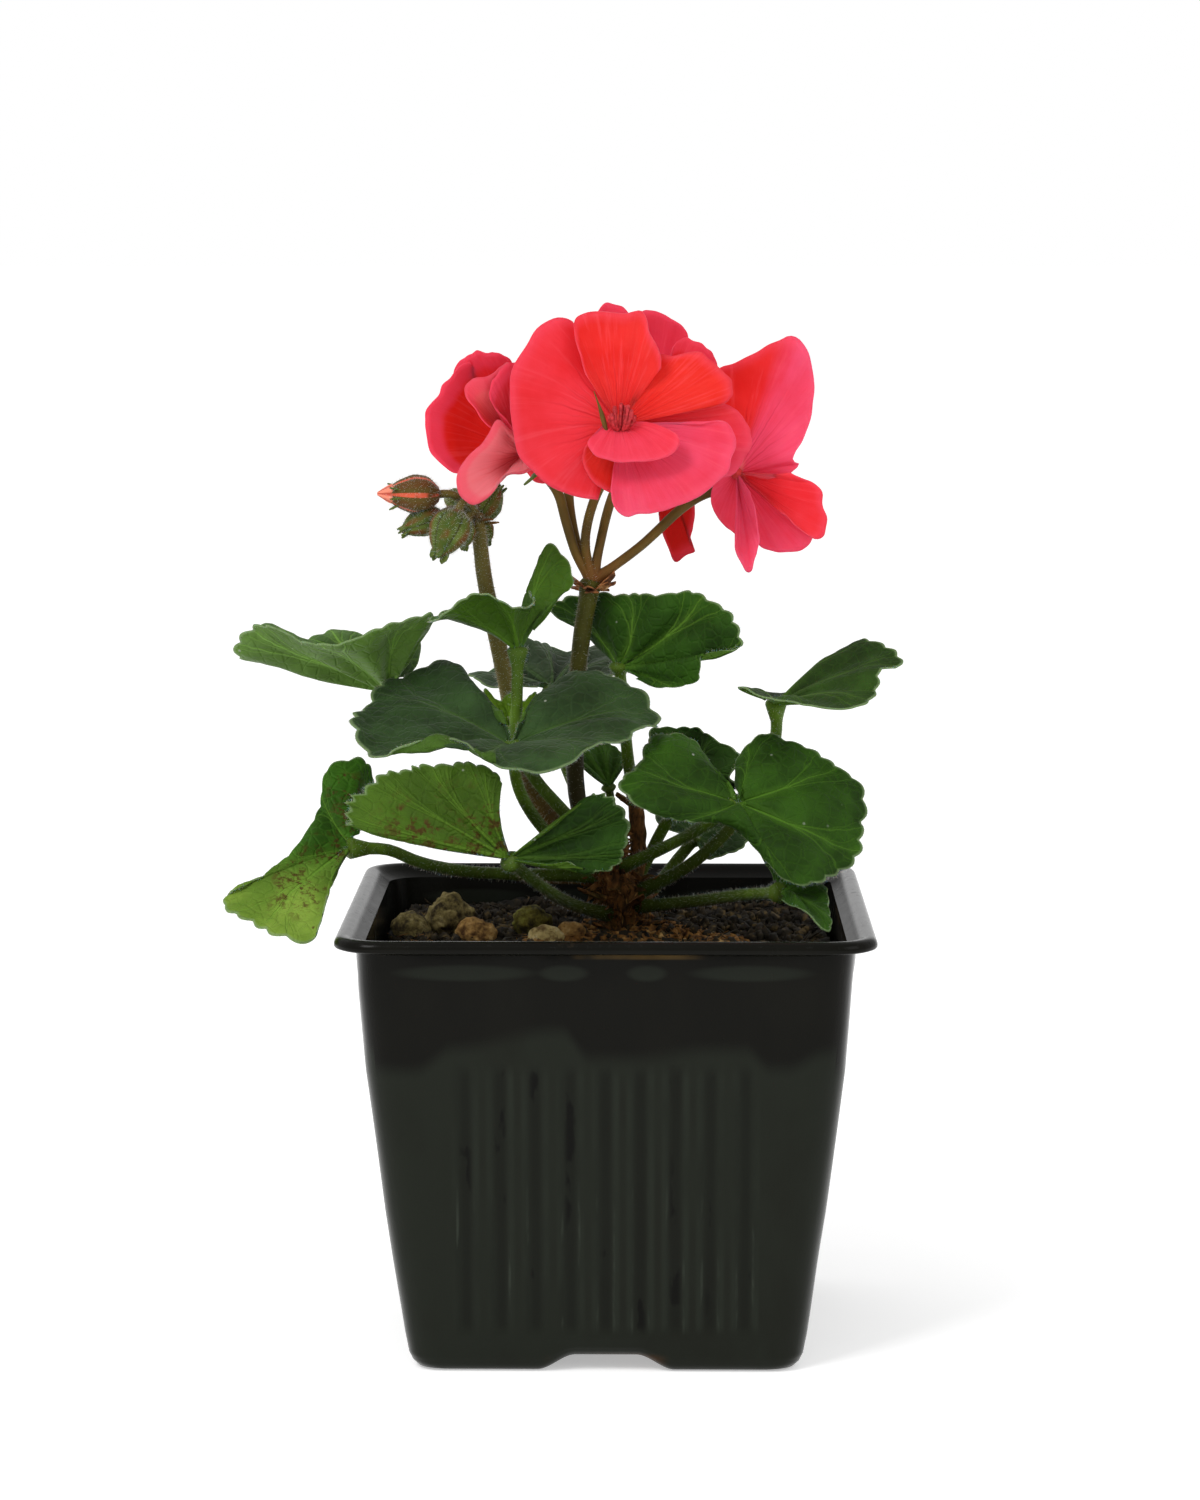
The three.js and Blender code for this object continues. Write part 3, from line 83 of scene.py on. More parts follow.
class Tone:
    """A value, colour or vector in a finish, with plain arithmetic on values."""

    def __init__(self, tree, socket=None):
        self.tree = tree
        self.socket = socket

    def node(self, kind, settings=None, sockets=None, out=0):
        """Adds a node: its settings first, then a value or a link for each socket it names."""
        made = self.tree.nodes.new(kind)
        for name, value in (settings or {}).items():
            setattr(made, name, value)
        for key, value in (sockets or {}).items():
            if isinstance(value, Tone):
                self.tree.links.new(value.socket, made.inputs[key])
            else:
                made.inputs[key].default_value = value
        return Tone(self.tree, made.outputs[out])

    def calc(self, operation, first, second=0.0):
        return self.node("ShaderNodeMath", {"operation": operation}, {0: first, 1: second})

    def __add__(self, other):
        return self.calc("ADD", self, other)

    def __radd__(self, other):
        return self.calc("ADD", other, self)

    def __sub__(self, other):
        return self.calc("SUBTRACT", self, other)

    def __rsub__(self, other):
        return self.calc("SUBTRACT", other, self)

    def __mul__(self, other):
        return self.calc("MULTIPLY", self, other)

    def __rmul__(self, other):
        return self.calc("MULTIPLY", other, self)

    def __truediv__(self, other):
        return self.calc("DIVIDE", self, other)

    def __pow__(self, other):
        return self.calc("POWER", self, other)

    def __abs__(self):
        return self.calc("ABSOLUTE", self)

    def fraction(self):
        return self.calc("FRACT", self)

    def ramp(self, start, end):
        """Goes smoothly from 0 at start to 1 at end."""
        return self.node("ShaderNodeMapRange", {"interpolation_type": "SMOOTHSTEP"}, {
            0: self, 1: start, 2: end, 3: 0.0, 4: 1.0})

    def parts(self):
        """The three numbers of a vector."""
        split = self.node("ShaderNodeSeparateXYZ", None, {0: self}).socket.node
        return [Tone(self.tree, split.outputs[k]) for k in range(3)]

    def blend(self, share, first, second):
        """The first colour where share is 0, and the second where it is 1."""
        first, second = ((*c, 1.0) if isinstance(c, tuple) else c for c in (first, second))
        return self.node("ShaderNodeMix", {"data_type": "RGBA"}, {0: share, 6: first, 7: second}, 2)

    def coats(self, colour, *coats):
        """A colour under others: each coat has its share of the surface and its colour."""
        for share, coat in coats:
            colour = self.blend(share, colour, coat)
        return colour

    def place(self):
        return self.node("ShaderNodeTexCoord", None, None, 3)

    def stretch(self, vector, by):
        return self.node("ShaderNodeVectorMath", {"operation": "MULTIPLY"}, {0: vector, 1: by})

    def cloud(self, vector, scale, detail=3.0, roughness=0.55):
        """Soft noise around 0.5."""
        return self.node("ShaderNodeTexNoise", None, {
            "Vector": vector, "Scale": scale, "Detail": detail, "Roughness": roughness})

    def specks(self, vector, scale, share, size):
        """Small round specks: 1 in a speck and 0 outside, on a share of the cells."""
        cells = self.node("ShaderNodeTexVoronoi", None, {"Vector": vector, "Scale": scale})
        cell = Tone(self.tree, cells.socket.node.outputs[1])
        keep = cell.parts()[0].ramp(1.0 - share, 1.0 - share + 0.01)
        return keep * (1.0 - cells.ramp(0.5 * size, size))

    def mark(self, name):
        return self.node("ShaderNodeAttribute", {"attribute_name": name}, None, 2)

    def bump(self, height, strength, distance):
        return self.node("ShaderNodeBump", None, {
            "Height": height, "Strength": strength, "Distance": distance})


def new_finish(name, fixed):
    """A finish with its fixed values on the shader itself. Returns it with its tone and its shader."""
    finish = bpy.data.materials.new(name)
    finish.use_nodes = True
    shader = finish.node_tree.nodes["Principled BSDF"]
    for socket, value in fixed.items():
        shader.inputs[socket].default_value = value
    return finish, Tone(finish.node_tree), shader


def feed(tone, shader, varying):
    for socket, value in varying.items():
        tone.tree.links.new(value.socket, shader.inputs[socket])


def outward(points, faces):
    """The faces of a closed body, turned so that they all point out."""
    p = np.asarray(points, float)
    volume = 0.0
    for face in faces:
        for k in range(1, len(face) - 1):
            volume += float(np.dot(p[face[0]], np.cross(p[face[k]], p[face[k + 1]])))
    return faces if volume > 0 else [tuple(reversed(face)) for face in faces]


def part(points, faces, uv=None, finish=0, **marks):
    """One closed body of a piece, in millimetres: the number of its finish, and the marks that this reads."""
    points = np.asarray(points, float)
    return {"points": points, "faces": outward(points, faces), "uv": uv, "finish": finish, "marks": marks}


def set_down(name, data):
    """A new object in the scene."""
    made = bpy.data.objects.new(name, data)
    bpy.context.scene.collection.objects.link(made)
    return made


def put_together(name, parts, finishes):
    """One piece from its closed bodies, with the list of finishes that they number."""
    points, faces, looks = [], [], []
    start = 0
    for body in parts:
        points.append(body["points"])
        faces.extend(tuple(start + corner for corner in face) for face in body["faces"])
        looks.extend([body["finish"]] * len(body["faces"]))
        start += len(body["points"])
    mesh = bpy.data.meshes.new(name)
    mesh.from_pydata((np.vstack(points) * 0.001).tolist(), [], faces)
    for finish in finishes:
        mesh.materials.append(finish)
    mesh.polygons.foreach_set("material_index", looks)
    if parts[0]["uv"] is not None:
        spread = np.vstack([body["uv"] for body in parts])
        corners = np.empty(len(mesh.loops), int)
        mesh.loops.foreach_get("vertex_index", corners)
        mesh.uv_layers.new(name="UVMap").data.foreach_set("uv", spread[corners].ravel())
    for mark in parts[0]["marks"]:
        values = [body["marks"][mark] * np.ones(len(body["points"])) for body in parts]
        values = np.concatenate(values)
        mesh.attributes.new(mark, "FLOAT", "POINT").data.foreach_set("value", values)
    mesh.shade_smooth()
    return set_down(name, mesh)


def worked_out(piece):
    """A plain mesh of the piece as its modifiers leave it."""
    return bpy.data.meshes.new_from_object(piece.evaluated_get(bpy.context.evaluated_depsgraph_get()))


def fix(piece, slot, *nodes):
    """The piece stands on the plant's one body, for the solids that it replaces."""
    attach(piece, "root")
    if nodes:
        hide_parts(*nodes)


def smooth(value, start, end):
    share = np.clip((np.asarray(value, float) - start) / (end - start), 0, 1)
    return share * share * (3 - 2 * share)


def wall_half(z):
    """Half width and corner radius of the pot's outside at one height, bowing gently."""
    levels, halves, corners = zip(*POT_OUTSIDE)
    return np.interp(z, levels, halves), np.interp(z, levels, corners)


def square_ring(half, z, corner, flute=0.0, swell=0.0):
    """Square outline with round corners. Flutes are pressed in, and soft swells stand out under the rim."""
    reach = half - corner
    bend = np.linspace(0, np.pi / 2, CORNER_STEPS + 1)[:-1]
    across = np.concatenate([np.linspace(-reach, reach, WALL_STEPS + 1)[:-1], reach + corner * np.sin(bend)])
    out = np.concatenate([np.full(WALL_STEPS, half), reach + corner * np.cos(bend)])
    pressed = smooth(0.5 + 0.5 * np.cos(2 * np.pi * across / FLUTE_PITCH), 0.35, 0.7)
    fluted = smooth(np.abs(across), FLUTES / 2 * FLUTE_PITCH, (FLUTES / 2 - 0.1) * FLUTE_PITCH)
    out = out - flute * pressed * fluted
    for middle, length in SWELLS:
        out = out + swell * np.exp(-((across - middle) / length) ** 4)
    sides = []
    for side in range(4):
        turn = side * math.pi / 2
        sides.append(np.stack([
            out * math.cos(turn) - across * math.sin(turn),
            out * math.sin(turn) + across * math.cos(turn),
            np.full_like(out, z)], 1))
    return np.vstack(sides)


def arch_lift(x, y):
    """How far the pot's floor is pressed up at one place, over the four arches."""
    out = np.maximum(np.abs(x), np.abs(y))
    across = np.minimum(np.abs(x), np.abs(y))
    end = ARCH_MOUTH - ARCH_DEPTH
    open_way = smooth(across, ARCH_WIDTH / 2 + 3.5, ARCH_WIDTH / 2 - 4)
    return ARCH_HEIGHT * open_way * smooth(out, end - 2, end + 1)


def skin(rings):
    """Faces between rings of the same number of points, with a middle point that closes each end."""
    count = len(rings[0])
    points = np.vstack(rings + [rings[0].mean(0)[None], rings[-1].mean(0)[None]])
    first, last = len(points) - 2, len(points) - 1
    faces = []
    for k in range(len(rings) - 1):
        for i in range(count):
            a, b = k * count + i, k * count + (i + 1) % count
            faces.append((a, b, b + count, a + count))
    end = (len(rings) - 1) * count
    for i in range(count):
        faces.append(((i + 1) % count, i, first))
        faces.append((end + i, end + (i + 1) % count, last))
    return points, faces


def pot_body():
    """The moulding as one closed skin: its floor, up the outside, over the rim and down the inside."""
    wall_top = POT_OUTSIDE[-1][0]
    rings = [square_ring(POT_OUTSIDE[0][1] * share, 0, 5 * share) for share in FLOOR_SHARES]
    for z in np.concatenate([np.arange(0, 8, 0.5), np.arange(8, wall_top, 1.6), [wall_top]]):
        half, corner = wall_half(z)
        flute = FLUTE_DEPTH * smooth(z, FLUTE_FOOT, FLUTE_FOOT + 3) * smooth(z, FLUTE_TOP, FLUTE_TOP - 3)
        swell = SWELL_RELIEF * math.exp(-((z - SWELL_LEVEL) / 1.3) ** 2)
        rings.append(square_ring(half, z, corner, flute, swell))
    rings += [square_ring(half, z, corner) for z, half, corner in RIM]
    for z in INSIDE_LEVELS:
        rings.append(square_ring(np.interp(z, *zip(*POT_INSIDE)), z, 7 if z > 32 else 5))
    rings += [square_ring(POT_INSIDE[0][1] * share, POT_FLOOR, 5 * share) for share in reversed(FLOOR_SHARES)]
    points, faces = skin(rings)
    # The floor and the lowest part of the walls rise over the arches
    fade = 1 - smooth(points[:, 2], 0, 9)
    points[:, 2] += arch_lift(points[:, 0], points[:, 1]) * fade
    # Thin walls are never quite flat
    dent = np.array([noise.noise((x * 0.035, y * 0.035, z * 0.03)) for x, y, z in points])
    hold = smooth(points[:, 2], 8, 25) * smooth(points[:, 2], 84, 76)
    out = points[:, :2] / np.linalg.norm(points[:, :2] + 1e-6, axis=1)[:, None]
    points[:, :2] += out * (0.45 * dent * hold)[:, None]
    return part(points, faces)


def box_part(low, high):
    corners = [(x, y, z) for z in (low[2], high[2]) for y in (low[1], high[1]) for x in (low[0], high[0])]
    return part(corners, [(0, 1, 3, 2), (4, 6, 7, 5), (0, 4, 5, 1), (1, 5, 7, 3), (3, 7, 6, 2), (2, 6, 4, 0)])


plastic, tone, shader = new_finish("black plastic", {
    "IOR": 1.45, "Specular IOR Level": 0.09, "Coat Roughness": 0.22})
place = tone.place()
x, y, z = place.parts()
# Distance across the wall that a point lies on, the same on all four walls
on_front = (abs(y) - abs(x)).ramp(-0.0001, 0.0001)
across = on_front * (x * tone.calc("SIGN", y)) * -1.0 + (1.0 - on_front) * (y * tone.calc("SIGN", x))
# Height where the duller lower wall and its painted reflection end: the rises and falls of its upper edge
panel_reflection_top = 0.0620
for start, end, rise in ((-0.037, -0.029, 0.0045), (-0.029, -0.010, 0.0035), (-0.0085, -0.003, -0.0055),
                         (0.005, 0.020, 0.0018), (0.027, 0.032, -0.0038), (0.035, 0.042, 0.0030)):
    panel_reflection_top = across.ramp(start, end) * rise + panel_reflection_top
dull_panel_reflection = 1.0 - (z - panel_reflection_top).ramp(-0.0024, 0.0022)
wear = tone.cloud(tone.stretch(place, (1.0, 1.0, 0.15)), 260.0, 4.0, 0.6)
haze = tone.cloud(tone.stretch(place, (1.0, 1.0, 0.5)), 60.0, 3.0, 0.6)
# Painted highlights in soft pale bands beside each flute, painted shade inside the flutes, thin scuffed lines
# low down, and rinsed stains inside the flutes
off_flute = abs((across / (FLUTE_PITCH * 0.001) + 0.5).fraction() - 0.5)
fluted = (z - 0.0075).ramp(0.0, 0.003) * (1.0 - (z - 0.0630).ramp(-0.003, 0.001))
fluted = fluted * (1.0 - abs(across).ramp(0.0298, 0.0304))
flute_highlights = (1.0 - abs(off_flute - 0.30).ramp(0.02, 0.17)) * fluted * haze.ramp(0.36, 0.62)
lines = (1.0 - abs(off_flute - 0.24).ramp(0.01, 0.06)) * fluted * wear.ramp(0.5, 0.7)
lines = lines * (1.0 - z.ramp(0.028, 0.042))
trough = (1.0 - off_flute.ramp(0.04, 0.22)) * fluted
drips = tone.cloud(tone.stretch(place, (1.0, 1.0, 0.3)), 240.0, 3.0, 0.5).ramp(0.58, 0.64) * trough
ovals = tone.specks(tone.stretch(place, (1.0, 1.0, 0.4)), 150.0, 0.45, 0.34) * trough
# Dust and soil on the outside, and a gleam on each swell
dust = tone.specks(place, 700.0, 0.004, 0.16)
grime = tone.cloud(place, 90.0, 5.0, 0.7).ramp(0.6, 0.72) * (z - 0.084).ramp(0.0, 0.003)
soiled = (1.0 - (z - 0.0026).ramp(0.0, 0.0016)) * (1.0 - abs(across).ramp(0.009, 0.013))
flange = (z - 0.0865).ramp(0.0, 0.001)
gleam = 0.0
for middle, length in SWELLS:
    aside = ((across - middle * 0.001) / ((length + 0.5) * 0.001)) ** 2.0
    gleam = (1.0 - (aside + ((z - 0.0814) / 0.0019) ** 2.0).ramp(0.25, 1.0)) + gleam
gilt = (1.0 - abs(z - 0.0846).ramp(0.0002, 0.0007)) * across.ramp(-0.015, -0.008)
gilt = gilt * (1.0 - across.ramp(0.014, 0.022))
fleck = tone.cloud(place, 800.0, 4.0, 0.7).ramp(0.6, 0.68) * flange
colour = tone.coats(
    (0.0035, 0.0034, 0.0022),
    # painted reflection: the duller lower wall is lighter grey-green
    (dull_panel_reflection, (0.0105, 0.0125, 0.0085)),
    (haze.ramp(0.4, 0.7) * 0.4, (0.0065, 0.0062, 0.0040)),
    # painted shade inside the flutes of the lower wall
    (trough * dull_panel_reflection * 0.55, (0.0048, 0.0054, 0.0036)),
    # painted highlights beside the flutes
    (flute_highlights * 0.6, (0.0165, 0.0205, 0.0145)),
    (lines * 0.6, (0.040, 0.048, 0.036)),
    (tone.calc("MAXIMUM", drips * 0.9, ovals * 0.8), (0.0022, 0.0022, 0.0016)),
    (gleam * 0.7, (0.014, 0.017, 0.012)),
    (gilt * haze.ramp(0.35, 0.6) * 0.8, (0.075, 0.045, 0.012)),
    (grime * 0.5, (0.03, 0.02, 0.009)),
    (soiled * haze.ramp(0.35, 0.6) * 0.8, (0.05, 0.022, 0.006)),
    (dust * 0.6, (0.16, 0.16, 0.13)))
edge_on = tone.node("ShaderNodeLayerWeight", None, {"Blend": 0.5}, 1)
walls = 1.0 - z.ramp(0.084, 0.0855)
grain = wear * 0.8 + haze + tone.cloud(place, 1400.0, 2.0) * 0.15 + fleck * 0.3
feed(tone, shader, {
    "Base Color": colour,
    "Roughness": 0.25 + dull_panel_reflection * 0.17 + (wear - 0.5) * 0.16 + grime * 0.3 + fleck * 0.35,
    "Coat Weight": edge_on.ramp(0.35, 0.9) * 0.55 * walls + edge_on.ramp(0.66, 0.86) * flange * 0.8,
    "Normal": tone.bump(grain, 0.22, 0.0005),
})

pot = put_together("black_pot", [pot_body()], [plastic])
slots = []
for side in range(4):
    turn = side * math.pi / 2
    x, y = SLOT_FROM_MIDDLE * math.cos(turn), SLOT_FROM_MIDDLE * math.sin(turn)
    half = DRAIN_SLOT / 2
    slots.append(box_part((x - half, y - half, 2), (x + half, y + half, 6)))
cutter = put_together("drain_slots", slots, [])
cut = pot.modifiers.new("drain slots", "BOOLEAN")
cut.operation = "DIFFERENCE"
cut.solver = "EXACT"
cut.object = cutter
pressed = worked_out(pot)
pot.modifiers.clear()
pot.data = pressed
pressed.set_sharp_from_angle(angle=math.radians(50))
bpy.data.objects.remove(cutter)
fix(pot, "pot", "pot")


# The soil is dark peat that fills the pot to a centimetre under its rim. Its top is uneven, with
# loose crumbs and fibres, and brown plant litter lies round the foot of the plant.
SOIL_LEVEL = 78.5
SOIL_HALF = 45.16
SOIL_FOOT_HALF = 35.3
SOIL_FOOT = 1.6


def soil_height(x, y):
    waves = 0.7 * np.sin(0.31 * x + 0.5) * np.cos(0.27 * y) + 0.5 * np.sin(0.53 * y + 0.17 * x)
    heap = 1.6 * np.exp(-((x - 4) ** 2 + (y - 15) ** 2) / 160)
    return SOIL_LEVEL + waves + heap + 0.03 * y


def soil_grid(half, steps):
    """Square grid, drawn in towards the pot's round corners."""
    line = np.linspace(-1, 1, steps + 1)
    x, y = np.meshgrid(line, line)
    x, y = x.ravel(), y.ravel()
    squeeze = 1 - 0.07 * (x * y) ** 2
    return np.stack([x * half * squeeze, y * half * squeeze], 1)


def crumble(spots, seed):
    """Fine relief of loose peat at each spot."""
    return np.array([
        0.9 * noise.noise((x * 0.35 + seed, y * 0.35, 1.7))
        + 0.7 * abs(noise.noise((x * 0.9, y * 0.9 + seed, 4.1)))
        + 0.35 * noise.noise((x * 2.1, y * 2.1, seed)) for x, y in spots])


def edge_strip(border, size):
    """Faces that join the edge of a sheet to the edge of its copy, size points further on."""
    return [(b, a, a + size, b + size) for a, b in zip(border, border[1:] + border[:1])]


def two_sheets(upper, lower, across, along):
    """Closed body between two alike grids of points, with so many cells each way."""
    row, size = across + 1, len(upper)
    faces = []
    for j in range(along):
        for i in range(across):
            a = j * row + i
            faces.append((a, a + 1, a + row + 1, a + row))
            faces.append((size + a, size + a + row, size + a + row + 1, size + a + 1))
    border = [k for k in range(across)] + [k * row + across for k in range(along)]
    border += [along * row + k for k in range(across, 0, -1)] + [k * row for k in range(along, 0, -1)]
    return np.vstack([upper, lower]), faces + edge_strip(border, size)


def soil_body(steps=130):
    upper = soil_grid(SOIL_HALF, steps)
    lower = soil_grid(SOIL_FOOT_HALF, steps)
    relief = crumble(upper, 3.0)
    rim = np.maximum(np.abs(upper[:, 0]), np.abs(upper[:, 1]))
    top = soil_height(upper[:, 0], upper[:, 1]) + relief - 0.3 + 0.8 * smooth(rim, 40, 45)
    foot = SOIL_FOOT + arch_lift(lower[:, 0], lower[:, 1])
    return part(*two_sheets(np.column_stack([upper, top]), np.column_stack([lower, foot]), steps, steps))


def scatter(name, patch, shape, finish, per_cm2, shortest, longest, tilt, seed, slot):
    """Sets small shapes all over a patch of surface, at random places, sizes in metres and tilts."""
    tree = bpy.data.node_groups.get("scattered shapes")
    if tree is None:
        tree = bpy.data.node_groups.new("scattered shapes", "GeometryNodeTree")
        tree.is_modifier = True
        face = tree.interface
        face.new_socket("Geometry", in_out="OUTPUT", socket_type="NodeSocketGeometry")
        face.new_socket("Geometry", in_out="INPUT", socket_type="NodeSocketGeometry")
        for label, kind in (
                ("Number per square metre", "NodeSocketFloat"), ("Shortest", "NodeSocketFloat"),
                ("Longest", "NodeSocketFloat"), ("Tilt", "NodeSocketVector"), ("Seed", "NodeSocketInt"),
                ("Shape", "NodeSocketObject"), ("Finish", "NodeSocketMaterial")):
            face.new_socket(label, in_out="INPUT", socket_type=kind)
        made = {}
        for key, kind in (
                ("in", "NodeGroupInput"), ("out", "NodeGroupOutput"),
                ("points", "GeometryNodeDistributePointsOnFaces"), ("shape", "GeometryNodeObjectInfo"),
                ("set", "GeometryNodeInstanceOnPoints"), ("back", "ShaderNodeVectorMath"),
                ("tilt", "FunctionNodeRandomValue"), ("angle", "FunctionNodeEulerToRotation"),
                ("turn", "FunctionNodeRotateRotation"), ("size", "FunctionNodeRandomValue"),
                ("real", "GeometryNodeRealizeInstances"), ("finish", "GeometryNodeSetMaterial")):
            made[key] = tree.nodes.new(kind)
        made["back"].operation = "SCALE"
        made["back"].inputs["Scale"].default_value = -1.0
        made["tilt"].data_type = "FLOAT_VECTOR"
        made["turn"].rotation_space = "LOCAL"
        for source, outlet, target, inlet in (
                ("in", "Geometry", "points", "Mesh"), ("in", "Number per square metre", "points", "Density"),
                ("in", "Seed", "points", "Seed"), ("in", "Shape", "shape", "Object"),
                ("points", "Points", "set", "Points"), ("shape", "Geometry", "set", "Instance"),
                ("in", "Tilt", "back", 0), ("back", 0, "tilt", 0), ("in", "Tilt", "tilt", 1),
                ("in", "Seed", "tilt", "Seed"), ("tilt", 0, "angle", 0),
                ("points", "Rotation", "turn", "Rotation"), ("angle", 0, "turn", "Rotate By"),
                ("turn", 0, "set", "Rotation"), ("in", "Shortest", "size", 2), ("in", "Longest", "size", 3),
                ("in", "Seed", "size", "Seed"), ("size", 1, "set", "Scale"), ("set", 0, "real", 0),
                ("real", 0, "finish", "Geometry"), ("in", "Finish", "finish", "Material"),
                ("finish", 0, "out", "Geometry")):
            tree.links.new(made[source].outputs[outlet], made[target].inputs[inlet])
    holder = put_together(name + "_ground", [patch], [finish])
    grow = holder.modifiers.new("scattered shapes", "NODES")
    grow.node_group = tree
    values = {"Number per square metre": per_cm2 * 1e4, "Shortest": shortest, "Longest": longest,
              "Tilt": tilt, "Seed": seed, "Shape": shape, "Finish": finish}
    for item in tree.interface.items_tree:
        if item.in_out == "INPUT" and item.name in values:
            grow[item.identifier] = values[item.name]
    mesh = worked_out(holder)
    bpy.data.objects.remove(holder)
    mesh.name = name
    fix(set_down(name, mesh), slot)


def open_patch(points, faces):
    return {"points": np.asarray(points, float), "faces": faces, "uv": None, "finish": 0, "marks": {}}


def soil_patch(middle, reach, steps=40):
    """The part of the soil's top within reach of a spot, as a sheet."""
    grid = soil_grid(SOIL_HALF - 1, steps)
    near = np.hypot((grid[:, 0] - middle[0]) / reach[0], (grid[:, 1] - middle[1]) / reach[1]) < 1
    points = np.column_stack([grid, soil_height(grid[:, 0], grid[:, 1]) + 0.1])
    faces = []
    for j in range(steps):
        for i in range(steps):
            a = j * (steps + 1) + i
            face = (a, a + 1, a + steps + 2, a + steps + 1)
            if all(near[corner] for corner in face):
                faces.append(face)
    return open_patch(points, faces)


def hidden_shape(name, body):
    """A small shape kept only for scattering."""
    shape = put_together(name, [body], [])
    bpy.context.scene.collection.objects.unlink(shape)
    return shape


def crumb_shape(seed):
    """Uneven lump with twenty faces, one unit long."""
    golden = (1 + 5 ** 0.5) / 2
    corners = np.array([
        (-1, golden, 0), (1, golden, 0), (-1, -golden, 0), (1, -golden, 0),
        (0, -1, golden), (0, 1, golden), (0, -1, -golden), (0, 1, -golden),
        (golden, 0, -1), (golden, 0, 1), (-golden, 0, -1), (-golden, 0, 1)])
    faces = [(0, 11, 5), (0, 5, 1), (0, 1, 7), (0, 7, 10), (0, 10, 11), (1, 5, 9), (5, 11, 4), (11, 10, 2),
             (10, 7, 6), (7, 1, 8), (3, 9, 4), (3, 4, 2), (3, 2, 6), (3, 6, 8), (3, 8, 9), (4, 9, 5),
             (2, 4, 11), (6, 2, 10), (8, 6, 7), (9, 8, 1)]
    draw = np.random.default_rng(seed)
    corners = corners / 1.9 * (1 + 0.35 * draw.uniform(-1, 1, (12, 1)))
    return part(corners * (1.0, 0.75, 0.6) * 1000, faces)


def fibre_shape(bend):
    """Slim bent sliver, one unit long."""
    rings = []
    for share, girth in ((0, 0.3), (0.3, 1), (0.7, 0.9), (1, 0.2)):
        middle = np.array([share - 0.5, bend * math.sin(math.pi * share), 0.05])
        rings.append(middle + 0.035 * girth * np.array([[0, 1, 0], [0, -0.5, 0.8], [0, -0.5, -0.8]]))
    points, faces = skin(rings)
    return part(points * 1000, faces)


peat, tone, shader = new_finish("peat", {"Specular IOR Level": 0.25, "Roughness": 0.85})
place = tone.place()
coarse = tone.cloud(place, 260.0, 5.0, 0.65)
fine = tone.cloud(place, 1500.0, 3.0, 0.6)
x, y, _ = place.parts()
litter = 1.0 - (((x - 0.006) * 26.0) ** 2.0 + ((y + 0.002) * 34.0) ** 2.0).ramp(0.1, 1.0)
colour = tone.coats(
    (0.004, 0.0032, 0.0018),
    (coarse.ramp(0.35, 0.68), (0.019, 0.014, 0.0065)),
    (litter * fine.ramp(0.4, 0.65) * 0.8, (0.11, 0.05, 0.012)),
    (fine.ramp(0.66, 0.72) * 0.5, (0.12, 0.08, 0.03)))
feed(tone, shader, {"Base Color": colour, "Normal": tone.bump(coarse + fine * 0.4, 0.7, 0.0012)})


def litter_finish(name, dark, mid, light):
    """Finish of loose bits: each bit has its own shade, because the clouds are as coarse as the bits."""
    finish, tone, shader = new_finish(name, {"Specular IOR Level": 0.25, "Roughness": 0.82})
    place = tone.place()
    shade = tone.cloud(place, 420.0, 2.0)
    grain = tone.cloud(place, 2600.0, 3.0)
    colour = tone.coats(
        dark,
        (shade.ramp(0.32, 0.55), mid),
        (shade.ramp(0.55, 0.72), light),
        (grain.ramp(0.5, 0.75) * 0.35, dark))
    feed(tone, shader, {"Base Color": colour, "Normal": tone.bump(grain, 0.5, 0.0004)})
    return finish


peat_crumbs = litter_finish("peat crumbs", (0.006, 0.004, 0.0018), (0.022, 0.015, 0.006), (0.12, 0.08, 0.03))
brown_litter = litter_finish("brown litter", (0.05, 0.02, 0.005), (0.24, 0.11, 0.025), (0.55, 0.34, 0.12))

soil = put_together("peat_fill", [soil_body()], [peat])
fix(soil, "soil", "soil")
crumb_a, crumb_b = (hidden_shape("crumb", crumb_shape(seed)) for seed in (4, 9))
sliver = hidden_shape("sliver", fibre_shape(0.16))
everywhere = soil_patch((0, 0), (80, 80))
around_crown = soil_patch((6, 0), (24, 19))
by_left_wall = soil_patch((-42, -2), (9, 20))
lying = (0.5, 0.5, math.pi)
scatter("peat_crumbs", everywhere, crumb_a, peat_crumbs, 34, 0.0004, 0.0017, (math.pi,) * 3, 5, "soil")
scatter("peat_fibres", everywhere, sliver, peat_crumbs, 9, 0.003, 0.008, lying, 6, "soil")
scatter("litter_crumbs", around_crown, crumb_b, brown_litter, 60, 0.0004, 0.0015, (math.pi,) * 3, 7, "soil")
scatter("litter_fibres", around_crown, sliver, brown_litter, 35, 0.002, 0.007, lying, 8, "soil")
scatter("wall_litter", by_left_wall, sliver, brown_litter, 40, 0.002, 0.006, lying, 9, "soil")


# Six lumps of bark and stone lie on the peat, front left of the plant. They are rough and pitted,
# grey-brown where they are weathered and orange or tan where they are broken.
def knobbly(node, seed, relief, pitch):
    """Copy of a lump's solid, made finer and roughened all over."""
    lump = set_down(node + "_fine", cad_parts[node].data.copy())
    weld = lump.modifiers.new("weld", "WELD")
    weld.merge_threshold = 0.00001
    rounding = lump.modifiers.new("rounding", "SUBSURF")
    rounding.levels = rounding.render_levels = 3
    fine = worked_out(lump)
    lump.modifiers.clear()
    lump.data = fine
    places = np.array([v.co for v in fine.vertices])
    ways = np.array([v.normal for v in fine.vertices])
    rise = np.array([
        0.7 * noise.noise(tuple(p * pitch + seed)) + 0.5 * abs(noise.noise(tuple(p * pitch * 2.3 + seed)))
        + 0.25 * noise.noise(tuple(p * pitch * 5 + seed)) for p in places])
    grown = places + ways * ((rise * relief + 0.0002)[:, None])
    middle = grown.mean(0)
    grown = middle + (grown - middle) * 1.1
    fine.vertices.foreach_set("co", grown.astype(np.float32).ravel())
    fine.materials.clear()
    fine.shade_smooth()
    return lump


